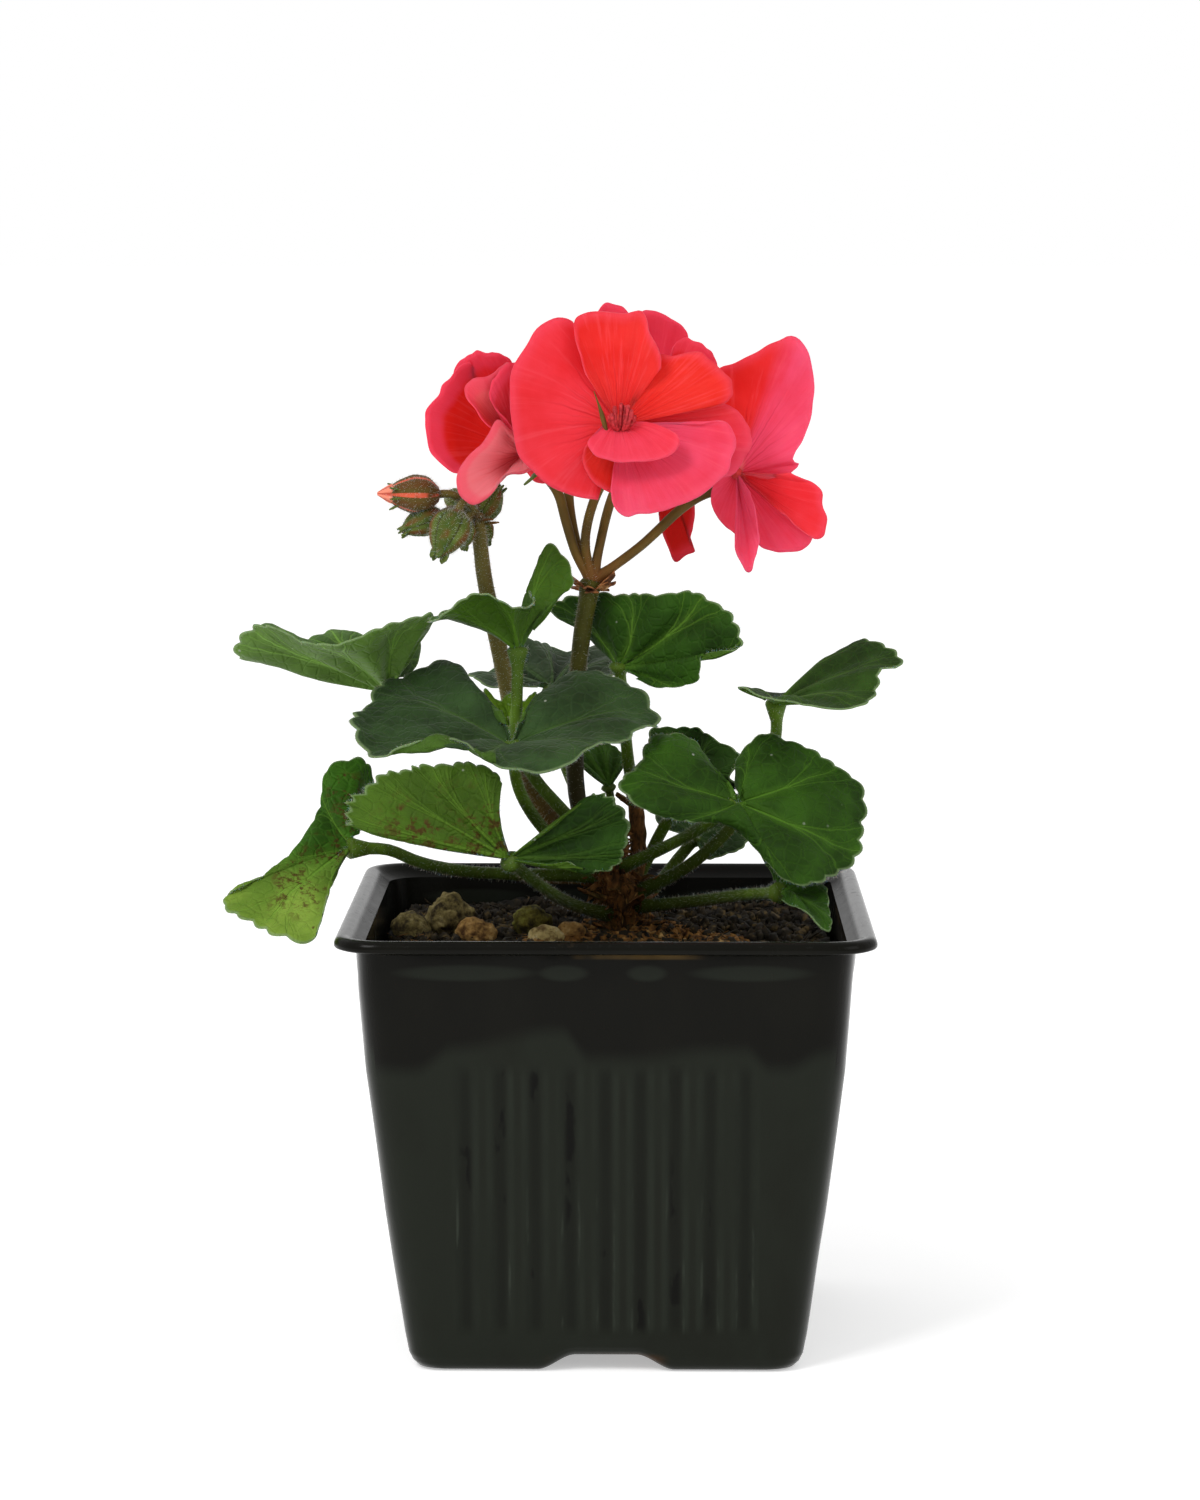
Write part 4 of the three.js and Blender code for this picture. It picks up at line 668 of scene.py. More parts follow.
def lump_finish(name, dark, mid, light):
    """Rough broken face: weathered dark, with lighter patches where it is bare."""
    finish, tone, shader = new_finish(name, {"Specular IOR Level": 0.25, "Roughness": 0.9})
    place = tone.place()
    coarse = tone.cloud(place, 330.0, 5.0, 0.65)
    fine = tone.cloud(place, 1900.0, 4.0, 0.65)
    colour = tone.coats(
        dark,
        (coarse.ramp(0.36, 0.55), mid),
        (coarse.ramp(0.52, 0.72), light),
        (fine.ramp(0.52, 0.7) * 0.6, dark))
    feed(tone, shader, {"Base Color": colour, "Normal": tone.bump(coarse + fine * 0.6, 0.8, 0.0009)})
    return finish


grey_bark = lump_finish("grey-brown bark", (0.03, 0.02, 0.007), (0.20, 0.155, 0.055), (0.42, 0.34, 0.16))
red_bark = lump_finish("broken red bark", (0.07, 0.03, 0.008), (0.36, 0.20, 0.06), (0.66, 0.44, 0.18))
mossy = lump_finish("mossy lump", (0.022, 0.016, 0.003), (0.13, 0.11, 0.016), (0.26, 0.26, 0.05))
pale_stone = lump_finish("tan lump", (0.14, 0.08, 0.025), (0.56, 0.43, 0.17), (0.75, 0.64, 0.36))
for node, finish, slot, relief in (
        ("stone_1", grey_bark, "bark_lump", 0.0012), ("stone_2", grey_bark, "bark_lump", 0.0016),
        ("stone_3", red_bark, "red_lump", 0.0010), ("stone_4", mossy, "bark_lump", 0.0013),
        ("stone_5", pale_stone, "pale_lump", 0.0007), ("stone_6", red_bark, "red_lump", 0.0007)):
    lump = knobbly(node, float(node[-1]) * 3.7, relief, 230.0)
    lump.data.materials.append(finish)
    fix(lump, slot, node)


# The crown is the plant's short woody foot. It leans out of the soil with a side shoot, and is
# covered in the dry, papery, red-brown stipules of old leaves.
CROWN_PATH = [(3.5, 16, 70), (3.5, 16, 80), (2, 15.5, 88), (-1, 14, 95), (-3, 13, 100)]
CROWN_RADII = (5.4, 3.8)
SIDE_SHOOT = [(4, 17, 86), (6, 18, 93), (6, 18, 100), (5.5, 17, 107)]
SIDE_SHOOT_RADII = (1.9, 1.6)
STIPULE_WIDTH = 1.7
# Root and tip of each large stipule
STIPULES = [
    ((0, 12, 86), (-6, 8, 90)), ((4, 12, 85), (7, 6, 89)), ((7, 14, 81), (11.5, 9, 83)),
    ((1, 12, 80), (-3, 7, 83)), ((6, 18, 105), (9.5, 15, 110)), ((5.5, 17, 105), (2, 13.5, 109)),
    ((-1, 16, 95), (-5, 20, 101)), ((5, 19, 83), (9, 24, 86)), ((6, 16, 88), (10.5, 12.5, 92)),
]


def smooth_line(knots, count):
    """Points at even distances along a smooth line through the knots."""
    knots = np.asarray(knots, float)
    ends = np.vstack([2 * knots[0] - knots[1], knots, 2 * knots[-1] - knots[-2]])
    fine = []
    for k in range(len(knots) - 1):
        a, b, c, d = ends[k:k + 4]
        spans = [max(np.linalg.norm(q - p) ** 0.5, 1e-4) for p, q in ((a, b), (b, c), (c, d))]
        before, here, after = spans
        leave = ((b - a) / before - (c - a) / (before + here) + (c - b) / here) * here
        arrive = ((c - b) / here - (d - b) / (here + after) + (d - c) / after) * here
        t = np.linspace(0, 1, 24, endpoint=False)[:, None]
        squared = (3 * (c - b) - 2 * leave - arrive) * t ** 2
        cubed = (2 * (b - c) + leave + arrive) * t ** 3
        fine.append(b + leave * t + squared + cubed)
    fine = np.vstack(fine + [knots[-1:]])
    run = np.concatenate([[0], np.cumsum(np.linalg.norm(np.diff(fine, axis=0), axis=1))])
    even = np.linspace(0, run[-1], count)
    return np.stack([np.interp(even, run, fine[:, i]) for i in range(3)], 1)


def unit(vectors):
    vectors = np.asarray(vectors, float)
    return vectors / np.maximum(np.linalg.norm(vectors, axis=-1, keepdims=True), 1e-9)


def stem_rings(path, girth, sides, steps, ripple=0.0, seed=0.0):
    """Rings round a smooth path. girth gives the radius at each share of the way."""
    line = smooth_line(path, steps + 1)
    ahead = unit(np.gradient(line, axis=0))
    side = unit(np.cross(ahead[0], (0.3, 1.0, 0.2)))
    turns = np.arange(sides) * 2 * np.pi / sides
    rings = []
    for k in range(steps + 1):
        side = unit(side - ahead[k] * np.dot(side, ahead[k]))
        other = np.cross(ahead[k], side)
        radius = girth(k / steps) * np.ones(sides)
        if ripple:
            radius = radius * (1 + ripple * np.array([
                noise.noise((math.cos(t) * 1.4 + seed, math.sin(t) * 1.4, k * 0.35 + seed)) for t in turns]))
        around = np.cos(turns)[:, None] * side + np.sin(turns)[:, None] * other
        rings.append(line[k] + radius[:, None] * around)
    # Round ends
    for end, ring, way in ((0, rings[0], -1), (-1, rings[-1], 1)):
        middle = line[end]
        reach = np.linalg.norm(ring - middle, axis=1).mean()
        cap = []
        for narrower, further in ((0.85, 0.25), (0.5, 0.42)):
            cap.append(middle + (ring - middle) * narrower + way * ahead[end] * reach * further)
        rings = cap[::-1] + rings if end == 0 else rings + cap
    return rings


def stem(path, first, last, sides=12, steps=24, swellings=(), ripple=0.05, seed=0.0, **marks):
    """Round stem from the first radius to the last, thicker by the given share at its swellings."""
    def girth(share):
        radius = first + (last - first) * share
        for middle, width, more in swellings:
            radius *= 1 + more * math.exp(-((share - middle) / width) ** 2)
        return radius
    points, faces = skin(stem_rings(path, girth, sides, steps, ripple, seed))
    return part(points, faces, **marks)


def papery_scale(root, tip, width, curl=0.5, thickness=0.22, steps=8, ragged=0.12, seed=0, **marks):
    """Dry pointed scale from its root to its tip, hollow on its inner side."""
    root, tip = np.asarray(root, float), np.asarray(tip, float)
    along = tip - root
    across = unit(np.array([along[1], -along[0], 0.01]))
    deep = unit(np.cross(along, across))
    draw = np.random.default_rng(seed)
    sheet = []
    for share in np.linspace(0, 1, steps + 1):
        half = width * (0.55 + 0.9 * share) * (1 - share) ** 0.55 + 0.06
        for i in np.linspace(-1, 1, 7):
            edge = half * (1 + (ragged * draw.uniform(-1, 1) if abs(i) == 1 else 0))
            hollow = deep * (curl * i * i * half + curl * 1.5 * share * share)
            sheet.append(root + along * share + across * i * edge + hollow)
    sheet = np.array(sheet)
    return part(*two_sheets(sheet + deep * thickness / 2, sheet - deep * thickness / 2, 6, steps), **marks)


bark, tone, shader = new_finish("red-brown bark", {"Specular IOR Level": 0.25, "Roughness": 0.85})
place = tone.place()
streaks = tone.cloud(tone.stretch(place, (1.0, 1.0, 0.35)), 700.0, 5.0, 0.65)
patches = tone.cloud(place, 210.0, 3.0)
colour = tone.coats(
    (0.035, 0.016, 0.004),
    (streaks.ramp(0.35, 0.62), (0.21, 0.085, 0.02)),
    (patches.ramp(0.5, 0.7) * 0.6, (0.10, 0.08, 0.016)),
    (streaks.ramp(0.58, 0.72) * 0.75, (0.50, 0.28, 0.09)))
feed(tone, shader, {"Base Color": colour, "Normal": tone.bump(streaks, 0.9, 0.0012)})

trunk = stem(CROWN_PATH, *CROWN_RADII, sides=28, steps=44, ripple=0.3, seed=2.0)
shoot = stem(SIDE_SHOOT, *SIDE_SHOOT_RADII, sides=14, ripple=0.2, seed=5.0)
dressing = [papery_scale(root, tip, STIPULE_WIDTH, seed=k) for k, (root, tip) in enumerate(STIPULES)]
crown = put_together("woody_crown", [trunk, shoot] + dressing, [bark])
fix(crown, "crown", "crown")
dry_scale = papery_scale((0, 0, -80), (120, 0, 1000), 210, curl=0.5, thickness=60, steps=3)
scale_shape = hidden_shape("dry_scale", dry_scale)
crown_skin = open_patch(*skin(stem_rings(CROWN_PATH[1:], lambda share: 4.6 - share, 16, 20)))
leaning = (0.75, 0.75, math.pi)
scatter("dry_scales", crown_skin, scale_shape, bark, 34, 0.0016, 0.0042, leaning, 21, "crown")
scatter("crown_fibres", crown_skin, sliver, brown_litter, 46, 0.002, 0.006, (1.2, 1.2, math.pi), 22, "crown")


# The leaves are round blades with blunt teeth, each on a long petiole that starts at the crown. The
# upper side is dark green velvet and the lower side paler, with light veins that fan out from the hub.
LEAF_THICKNESS = 0.5
PETIOLE_RADIUS = 1.25
# hub: where blade and petiole meet. edge: places round the blade, from one side of its notch to the other.
# lift: how far the blade arches. faces: the way its upper side looks. top, under, vein: the colours of its
# two sides, and how far the veins stand out in them. quilt: how far it bulges between the veins.
# curls: for each rolled stretch its place along the edge, its width, where it starts, and how far it moves.
# pale_below: the heights between which it turns pale. lobe: the other half of a folded blade.
LEAVES = [
    {
        "name": "leaf_front", "slot": "dark_leaf", "hub": (-19, -14, 121), "lift": (0, -1, 2.5),
        "faces": (0, -0.4, 1), "teeth": 20, "veins": 7,
        "edge": [(-21.5, -9, 124.5), (-26, 0, 131), (-33, 7, 136), (-43, 6, 133), (-50, -5, 128),
            (-53, -18, 122.5), (-43, -31, 119.5), (-31, -36, 121), (-20, -38, 118.5), (-7, -35, 119.5),
            (2, -27, 122), (6, -18, 124.5), (11, -10, 125), (8, 0, 130), (-1, 6, 135), (-10, 4, 133),
            (-16, -8, 125)],
        "petiole": [(-19, -14, 121.2), (-18, -10, 113), (-15, -5, 106), (-9, 5, 98), (-0.5, 13.5, 92)],
        "top": (0.021, 0.047, 0.012), "under": (0.045, 0.098, 0.01), "vein": 0.22, "sheen": 0.08,
        "quilt": 0.5,
        "curls": [(0.46, 0.06, 0.72, (0, 6.5, 3.8)), (0.63, 0.04, 0.8, (-1, 3, 1.5)),
            (0.3, 0.05, 0.8, (2, 2, 2.5))],
    },
    {
        "name": "leaf_far_left", "slot": "green_leaf", "hub": (-45, 14, 129), "lift": (-1, -2, 1),
        "faces": (0, 0.4, 1), "teeth": 18, "veins": 7,
        "edge": [(-43.5, 12, 131), (-39.5, 9, 137), (-35, 0, 147), (-46, -6, 143.5), (-57, -8, 141),
            (-68, -4, 143), (-76, 3, 138.5), (-75, 11, 136.5), (-71, 18, 142.5), (-64, 22, 139.5),
            (-57, 24, 140.5), (-46, 23, 139), (-39, 20, 139), (-42, 17, 132)],
        "petiole": [(-45.2, 14.2, 129.3), (-37, 14, 123), (-27, 12, 119), (-18.5, 7.5, 115)],
        "top": (0.062, 0.122, 0.03), "under": (0.085, 0.165, 0.028), "vein": 1.2, "quilt": 1.5,
        "curls": [(0.5, 0.05, 0.6, (0, 0, 3)), (0.28, 0.04, 0.7, (0, -2, 1.5))],
    },
    {
        "name": "leaf_upper", "slot": "green_leaf", "hub": (-18, -4, 139), "lift": (0, 0, 2),
        "faces": (0, 0.3, 1), "teeth": 16, "veins": 7,
        "edge": [(-17, -1, 141), (-22, 3, 149), (-30, -1, 149), (-36, -8, 145), (-31, -15, 149.5),
            (-25, -17, 152.5), (-19, -13, 149), (-15, -5, 149.5), (-16, 0, 151), (-15, 3, 156),
            (-12, 5, 160), (-8, 3, 157.5), (-7, 1, 152.5), (-10, 0, 149.5), (-15, -1.5, 143)],
        "petiole": [(-18.1, -3.8, 139.3), (-18.3, -4, 129), (-18.5, -3, 121), (-15, 1, 113),
            (-9.5, 4.5, 106), (-2, 11, 97)],
        "young_stem": True, "top": (0.036, 0.082, 0.012), "under": (0.038, 0.09, 0.006), "vein": 0.5,
    },
    {
        "name": "leaf_low_left", "slot": "green_leaf", "hub": (-19, -24, 100), "lift": (-1, -2, 0),
        "faces": (0, 1, 0.2), "teeth": 10, "veins": 4,
        "edge": [(-48, -35.3, 106.8), (-51, -36, 109), (-51, -36, 112), (-47, -33, 116.5),
            (-42, -29.5, 118.6), (-33, -27, 119.5), (-24, -26, 119), (-20.5, -26, 115)],
        "petiole": [(-19, -24, 99.5), (-13, -12, 92.5), (-7, 3, 86.5), (1, 14, 82.5)],
        "top": (0.014, 0.042, 0.003), "under": (0.05, 0.104, 0.008), "vein": 0.45, "quilt": 0.3,
        "dirty": True,
        "lobe": {
            "faces": (0, -1, 0.4), "teeth": 8, "veins": 4,
            "edge": [(-6.5, -26, 109), (-2, -26, 113.5), (3, -24, 111.5), (4.5, -23, 106), (3, -25, 99.5),
                (-2, -28, 98), (-7.5, -28.2, 100)],
            "vein": 0.2, "quilt": 0.6, "dirty": False,
        },
    },
    {
        "name": "leaf_drooping", "slot": "light_leaf", "hub": (-51, -15, 101), "lift": (-1, -1, 0.5),
        "faces": (0, -1, 0.4), "teeth": 16, "veins": 5,
        "edge": [(-50, -12, 103), (-47, -3, 112), (-49, -2, 117.5), (-56, -6, 116.5), (-58, -12, 108),
            (-61, -19, 102), (-68, -26, 96.5), (-76, -30, 92.5), (-72, -34, 89.5), (-65, -37, 86.5),
            (-57, -36, 85), (-55, -32, 92), (-53, -20, 98.5)],
        "petiole": [(-51.2, -15.1, 100.8), (-44, -12, 100), (-38, -8, 97), (-30, 0, 94), (-17, 8, 92),
            (-1, 14, 91)],
        "top": (0.031, 0.098, 0.006), "under": (0.07, 0.155, 0.014), "vein": 0.5, "quilt": 0.5,
        "pale_below": (103, 92), "dirty": True,
    },
    {
        "name": "leaf_upper_right", "slot": "dark_leaf", "hub": (2, 10, 134.5), "lift": (2, -2, 0),
        "faces": (0, -1, 0.5), "teeth": 18, "veins": 6,
        "edge": [(5, 6.5, 132.5), (11, 2, 131), (18.5, -2, 133.5), (20, -4, 138.5), (28, -7, 141),
            (25, -4, 147), (18, 0, 151), (10, 3, 150.5), (2, 8, 150), (-5, 14, 150), (-12, 17, 147),
            (-11, 20, 144), (-3, 23, 140), (2, 20, 137.5), (3, 14, 136)],
        "petiole": [(2.2, 10.1, 134.9), (3, 12, 127), (4, 14.5, 115), (5.5, 17, 106)],
        "top": (0.017, 0.053, 0.003), "under": (0.045, 0.1, 0.009), "vein": 0.95,
    },
    {
        "name": "leaf_far_right", "slot": "dark_leaf", "hub": (34, 0, 128), "lift": (0, 0, 1),
        "faces": (0, -0.3, 1), "teeth": 18, "veins": 7,
        "edge": [(31.5, 0.5, 129), (28, 6, 130), (32, 12, 129), (40, 14, 129), (45, 14, 133),
            (49, 12, 138), (54, 8, 140.5), (60, 0, 137), (55, -4, 136), (54.5, -8, 132), (50, -13, 129.2),
            (44, -15, 129.3), (35, -13, 130.2), (26, -7, 132), (31, -1.5, 129.5)],
        "petiole": [(34, 0, 128.2), (34, 3, 121), (31, 7, 112), (26, 8, 103), (17, 10, 94), (4, 16, 86)],
        "young_stem": True, "top": (0.017, 0.043, 0.004), "under": (0.06, 0.125, 0.012), "vein": 0.3,
    },
    {
        "name": "leaf_right", "slot": "green_leaf", "hub": (26, -16, 110), "lift": (0.5, -2, 0.5),
        "faces": (0, -1, 0.4), "teeth": 22, "veins": 7,
        "edge": [(22.5, -14, 111.5), (21, -11, 117), (17, -9, 121.5), (9, -10, 123), (6, -17, 118),
            (2, -23, 115), (6, -26, 110.5), (14, -26, 108), (23, -24, 106), (30, -25, 102), (36, -30, 96),
            (43, -28, 96), (50, -22, 100), (52, -15, 109), (48, -9, 115), (39, -5, 121), (32, -5, 123),
            (26.5, -9, 119), (25.5, -14, 113)],
        "petiole": [(25.7, -15.8, 110), (19, -7, 104), (11, 4, 98), (1, 14, 92)],
        "top": (0.017, 0.052, 0.0022), "under": (0.045, 0.11, 0.008), "vein": 0.5,
        "curls": [(0.73, 0.05, 0.1, (0, 5, 0.5)), (0.44, 0.04, 0.5, (-2, 4, 2)),
            (0.12, 0.05, 0.6, (0, 3, 0))],
    },
    {
        "name": "leaf_low_right", "slot": "green_leaf", "hub": (34, -22, 93), "lift": (1, 0, 1),
        "faces": (0, -1, 0.6), "teeth": 12, "veins": 5,
        "edge": [(33.2, -19, 95), (31, -16, 100), (30.6, -15, 103.5), (36.5, -15, 101), (42, -21, 96),
            (44, -29, 92), (43.4, -36, 87), (41.2, -35, 89.2), (37.4, -31, 91.4), (34.5, -26, 92)],
        "petiole": [(34.2, -22.0, 93.0), (27, -12, 91), (18, 2, 87.5), (4, 15.5, 84)],
        "top": (0.016, 0.05, 0.0025), "under": (0.04, 0.095, 0.01), "vein": 0.3,
    },
    {
        "name": "leaf_behind_right", "slot": "dark_leaf", "hub": (17, 9, 110), "lift": (0, 1, 1),
        "faces": (0, -1, 0.5), "teeth": 10, "veins": 5,
        "edge": [(15, 8, 111.5), (9, 6, 118), (9, 12, 122), (17, 13, 122), (22, 9, 120.5), (27, 3, 116.5),
            (25, 4, 113), (27, 8, 110), (22, 14, 109), (18, 12, 109.5)],
        "petiole": [(17, 9.3, 109.7), (12, 15, 102), (8.7, 19, 95), (4, 18, 86)],
        "top": (0.014, 0.038, 0.004), "under": (0.03, 0.07, 0.008), "vein": 0.35,
    },
    {
        "name": "leaf_back", "slot": "dark_leaf", "hub": (-12, 30, 128), "lift": (0, 1, 1),
        "faces": (0, -0.3, 1), "teeth": 16, "veins": 7,
        "edge": [(-15, 27, 128.5), (-24, 26, 129), (-30, 31, 130.5), (-26, 39, 131), (-18, 38, 138),
            (-10, 44, 135), (0, 42, 136), (3, 33, 133), (-3, 24, 130.5), (-9, 25, 128.5)],
        "petiole": [(-12, 30, 127.7), (-11, 28, 118), (-6, 24, 105), (2, 16, 90)],
        # The grey of this top colour is a painted velvet sheen, as the blade is seen at a grazing angle.
        "top": (0.03, 0.05, 0.024), "under": (0.05, 0.1, 0.025), "vein": 0.3, "sheen": 0.15,
    },
    {
        "name": "leaf_back_low", "slot": "dark_leaf", "hub": (18, 26, 97), "lift": (0, 1, 1),
        "faces": (0, -1, 1), "teeth": 12, "veins": 5,
        "edge": [(16, 24, 97.5), (10, 22, 101), (11, 28, 105), (18, 33, 106), (26, 32, 104), (30, 27, 99),
            (28, 21, 96), (21, 20, 93.5), (18.5, 23, 96)],
        "petiole": [(18, 26, 97.1), (13, 25, 91), (3.5, 17, 80)],
        "top": (0.018, 0.042, 0.009), "under": (0.04, 0.08, 0.02), "vein": 0.4,
    },
    {
        "name": "leaf_young", "slot": "light_leaf", "hub": (-19, 1, 121.5), "lift": (0, 0, -1),
        "faces": (0, 1, 0.2), "teeth": 8, "veins": 5,
        "edge": [(-23, -0.5, 125), (-25, 0.2, 128), (-25, 1.5, 131), (-22, 3, 128.5), (-19.5, 2.5, 130.5),
            (-17, 3, 128.5), (-14.6, 2.5, 130.5), (-14.6, 1.5, 128), (-15.5, 0.5, 125)],
        "petiole": [(-19, 1.1, 121.8), (-19, 3, 119), (-18.5, 7, 117)],
        "petiole_radius": 0.9, "young_stem": True, "top": (0.1, 0.19, 0.01), "under": (0.12, 0.23, 0.012),
        "vein": 0.4,
    },
    {
        "name": "leaf_small", "slot": "green_leaf", "hub": (0, 17, 109), "lift": (0, -1, 0),
        "faces": (0, 0.3, 1), "teeth": 8, "veins": 5,
        "edge": [(-4, 14.5, 113), (-8, 16, 116), (-9, 21, 117), (-4, 25, 118), (2, 24, 116),
            (3, 20.5, 112.5)],
        "petiole": [(0, 17.2, 108.8), (1, 19, 104), (6, 18.5, 98)],
        "petiole_radius": 0.9, "young_stem": True, "top": (0.03, 0.082, 0.006),
        "under": (0.04, 0.1, 0.01), "vein": 0.35,
    },
]


def sheet_way(grid):
    """The way that a fan of points faces at each of them, and how large a patch each stands for."""
    crossed = np.cross(np.gradient(grid, axis=0), np.gradient(grid, axis=1))
    normal = unit(crossed)
    normal[0] = unit(normal[1].mean(0))
    return normal, np.linalg.norm(crossed, axis=2)


def unrolled(grid):
    """The values of a fan in one list, with those of its hub once."""
    return np.vstack([grid[0, :1], grid[1:].reshape(-1, grid.shape[-1])])


def two_sided(grid, thickness, faces_way):
    """Closed blade round a fan of points, grid[ring][step], whose first ring is the one hub point."""
    rings, steps = grid.shape[0] - 1, grid.shape[1] - 1
    normal, patch = sheet_way(grid)
    if np.dot((normal * patch[..., None]).sum((0, 1)), faces_way) < 0:
        normal = -normal
    middle, across, half = unrolled(grid), unrolled(normal), unrolled(thickness[..., None] / 2)
    size = len(middle)
    number = np.zeros((rings + 1, steps + 1), int)
    number[1:] = 1 + np.arange(rings * (steps + 1)).reshape(rings, steps + 1)
    upper = [(0, number[1, j], number[1, j + 1]) for j in range(steps)]
    for k in range(1, rings):
        for j in range(steps):
            upper.append((number[k, j], number[k + 1, j], number[k + 1, j + 1], number[k, j + 1]))
    lower = [tuple(size + corner for corner in reversed(face)) for face in upper]
    border = [number[k, 0] for k in range(rings)] + [number[rings, j] for j in range(steps)]
    border += [number[k, steps] for k in range(rings, 0, -1)]
    strip = edge_strip(border, size)
    return np.vstack([middle + across * half, middle - across * half]), upper + lower + strip, strip, size


def along_edge(u, spot):
    """Smooth noise along an edge. spot gives the place in the noise for each share of the way."""
    return np.array([noise.noise(spot(share)) for share in u[0, :, 0]])[None, :, None]


def rumple(grid, pitch, shift):
    """Smooth noise at each point of a fan."""
    return np.array([[noise.noise(tuple(p * pitch + shift)) for p in row] for row in grid])[..., None]


def leaf_sheet(leaf, rings=20):
    """The blade: low lobes with small uneven teeth, ripples, curls, and quilting between sunken veins."""
    teeth = leaf["teeth"]
    steps = 13 * teeth
    hub = np.array(leaf["hub"], float)
    arch = np.array(leaf["lift"], float)
    rim = smooth_line(leaf["edge"], steps + 1)
    u = np.linspace(0, 1, steps + 1)[None, :, None]
    r = (1 - (1 - np.linspace(0, 1, rings + 1)) ** 1.25)[:, None, None]
    fade = np.minimum(1, np.minimum(12 * u, 12 * (1 - u)))
    uneven = along_edge(u, lambda share: (share * teeth * 0.55, hub[0] * 0.3, hub[2] * 0.3))
    lobes = 1 - np.abs(np.cos(np.pi * (teeth / 2) * u + 0.6 * uneven))
    small = 1 - np.abs(np.cos(np.pi * 1.6 * teeth * u + 2.2 * uneven))
    cut = 0.026 * lobes + (0.034 + 0.02 * uneven) * small
    reach = r * (1 - fade * cut * smooth(r, 0.8, 1))
    wave = 0.6 * np.sin(2 * np.pi * (teeth / 2) * u + 2 * uneven) * r * r
    grid = hub + (rim[None] - hub) * reach + arch * (4 * r * (1 - r) + 0.3 * wave)
    for middle, width, start, way in leaf.get("curls", ()):
        grid = grid + np.array(way, float) * np.exp(-((u - middle) / width) ** 2) * smooth(r, start, 1) ** 1.3
    normal, _ = sheet_way(grid)
    size = np.linalg.norm(rim - hub, axis=1).mean() / 25
    bulge = 0.8 * leaf.get("quilt", 1.0)
    quilt = bulge * size * np.cos(2 * np.pi * leaf["veins"] * u) * 4 * r * (1.05 - r) * fade
    flutter, crinkle = rumple(grid, 0.11, (0, 0, 7)), rumple(grid, 0.42, (0, 0, 0))
    grid = grid + normal * (quilt + size * (1.5 * flutter + 0.35 * crinkle) * smooth(r, 0.1, 0.9))
    uv = np.stack(np.broadcast_arrays(u[..., 0], r[..., 0]), 2)
    return grid, uv, np.linalg.norm(np.diff(rim, axis=0), axis=1).sum()


def leaf_blade(leaf):
    grid, uv, edge_length = leaf_sheet(leaf)
    thickness = LEAF_THICKNESS * (1.1 - 0.4 * uv[..., 1])
    points, faces, strip, size = two_sided(grid, thickness, leaf["faces"])
    under = np.repeat((0.0, 1.0), size)
    pale = np.zeros(len(points))
    if "pale_below" in leaf:
        high, low = leaf["pale_below"]
        pale = smooth(points[:, 2], high, low)
    blade = part(points, faces, uv=np.tile(unrolled(uv), (2, 1)), under=under, pale=pale)
    return blade, open_patch(points, strip), edge_length


def leaf_petiole(leaf):
    radius = leaf.get("petiole_radius", PETIOLE_RADIUS)
    petiole = stem(leaf["petiole"], radius * 0.95, radius * 1.05, steps=30,
                   swellings=((0.0, 0.04, 0.9), (1.0, 0.12, 0.35)), under=0.0, pale=0.0)
    petiole["uv"] = np.zeros((len(petiole["points"]), 2))
    return petiole


def times(colour, factor):
    """The colour, made lighter or darker."""
    return tuple(factor * c for c in colour)


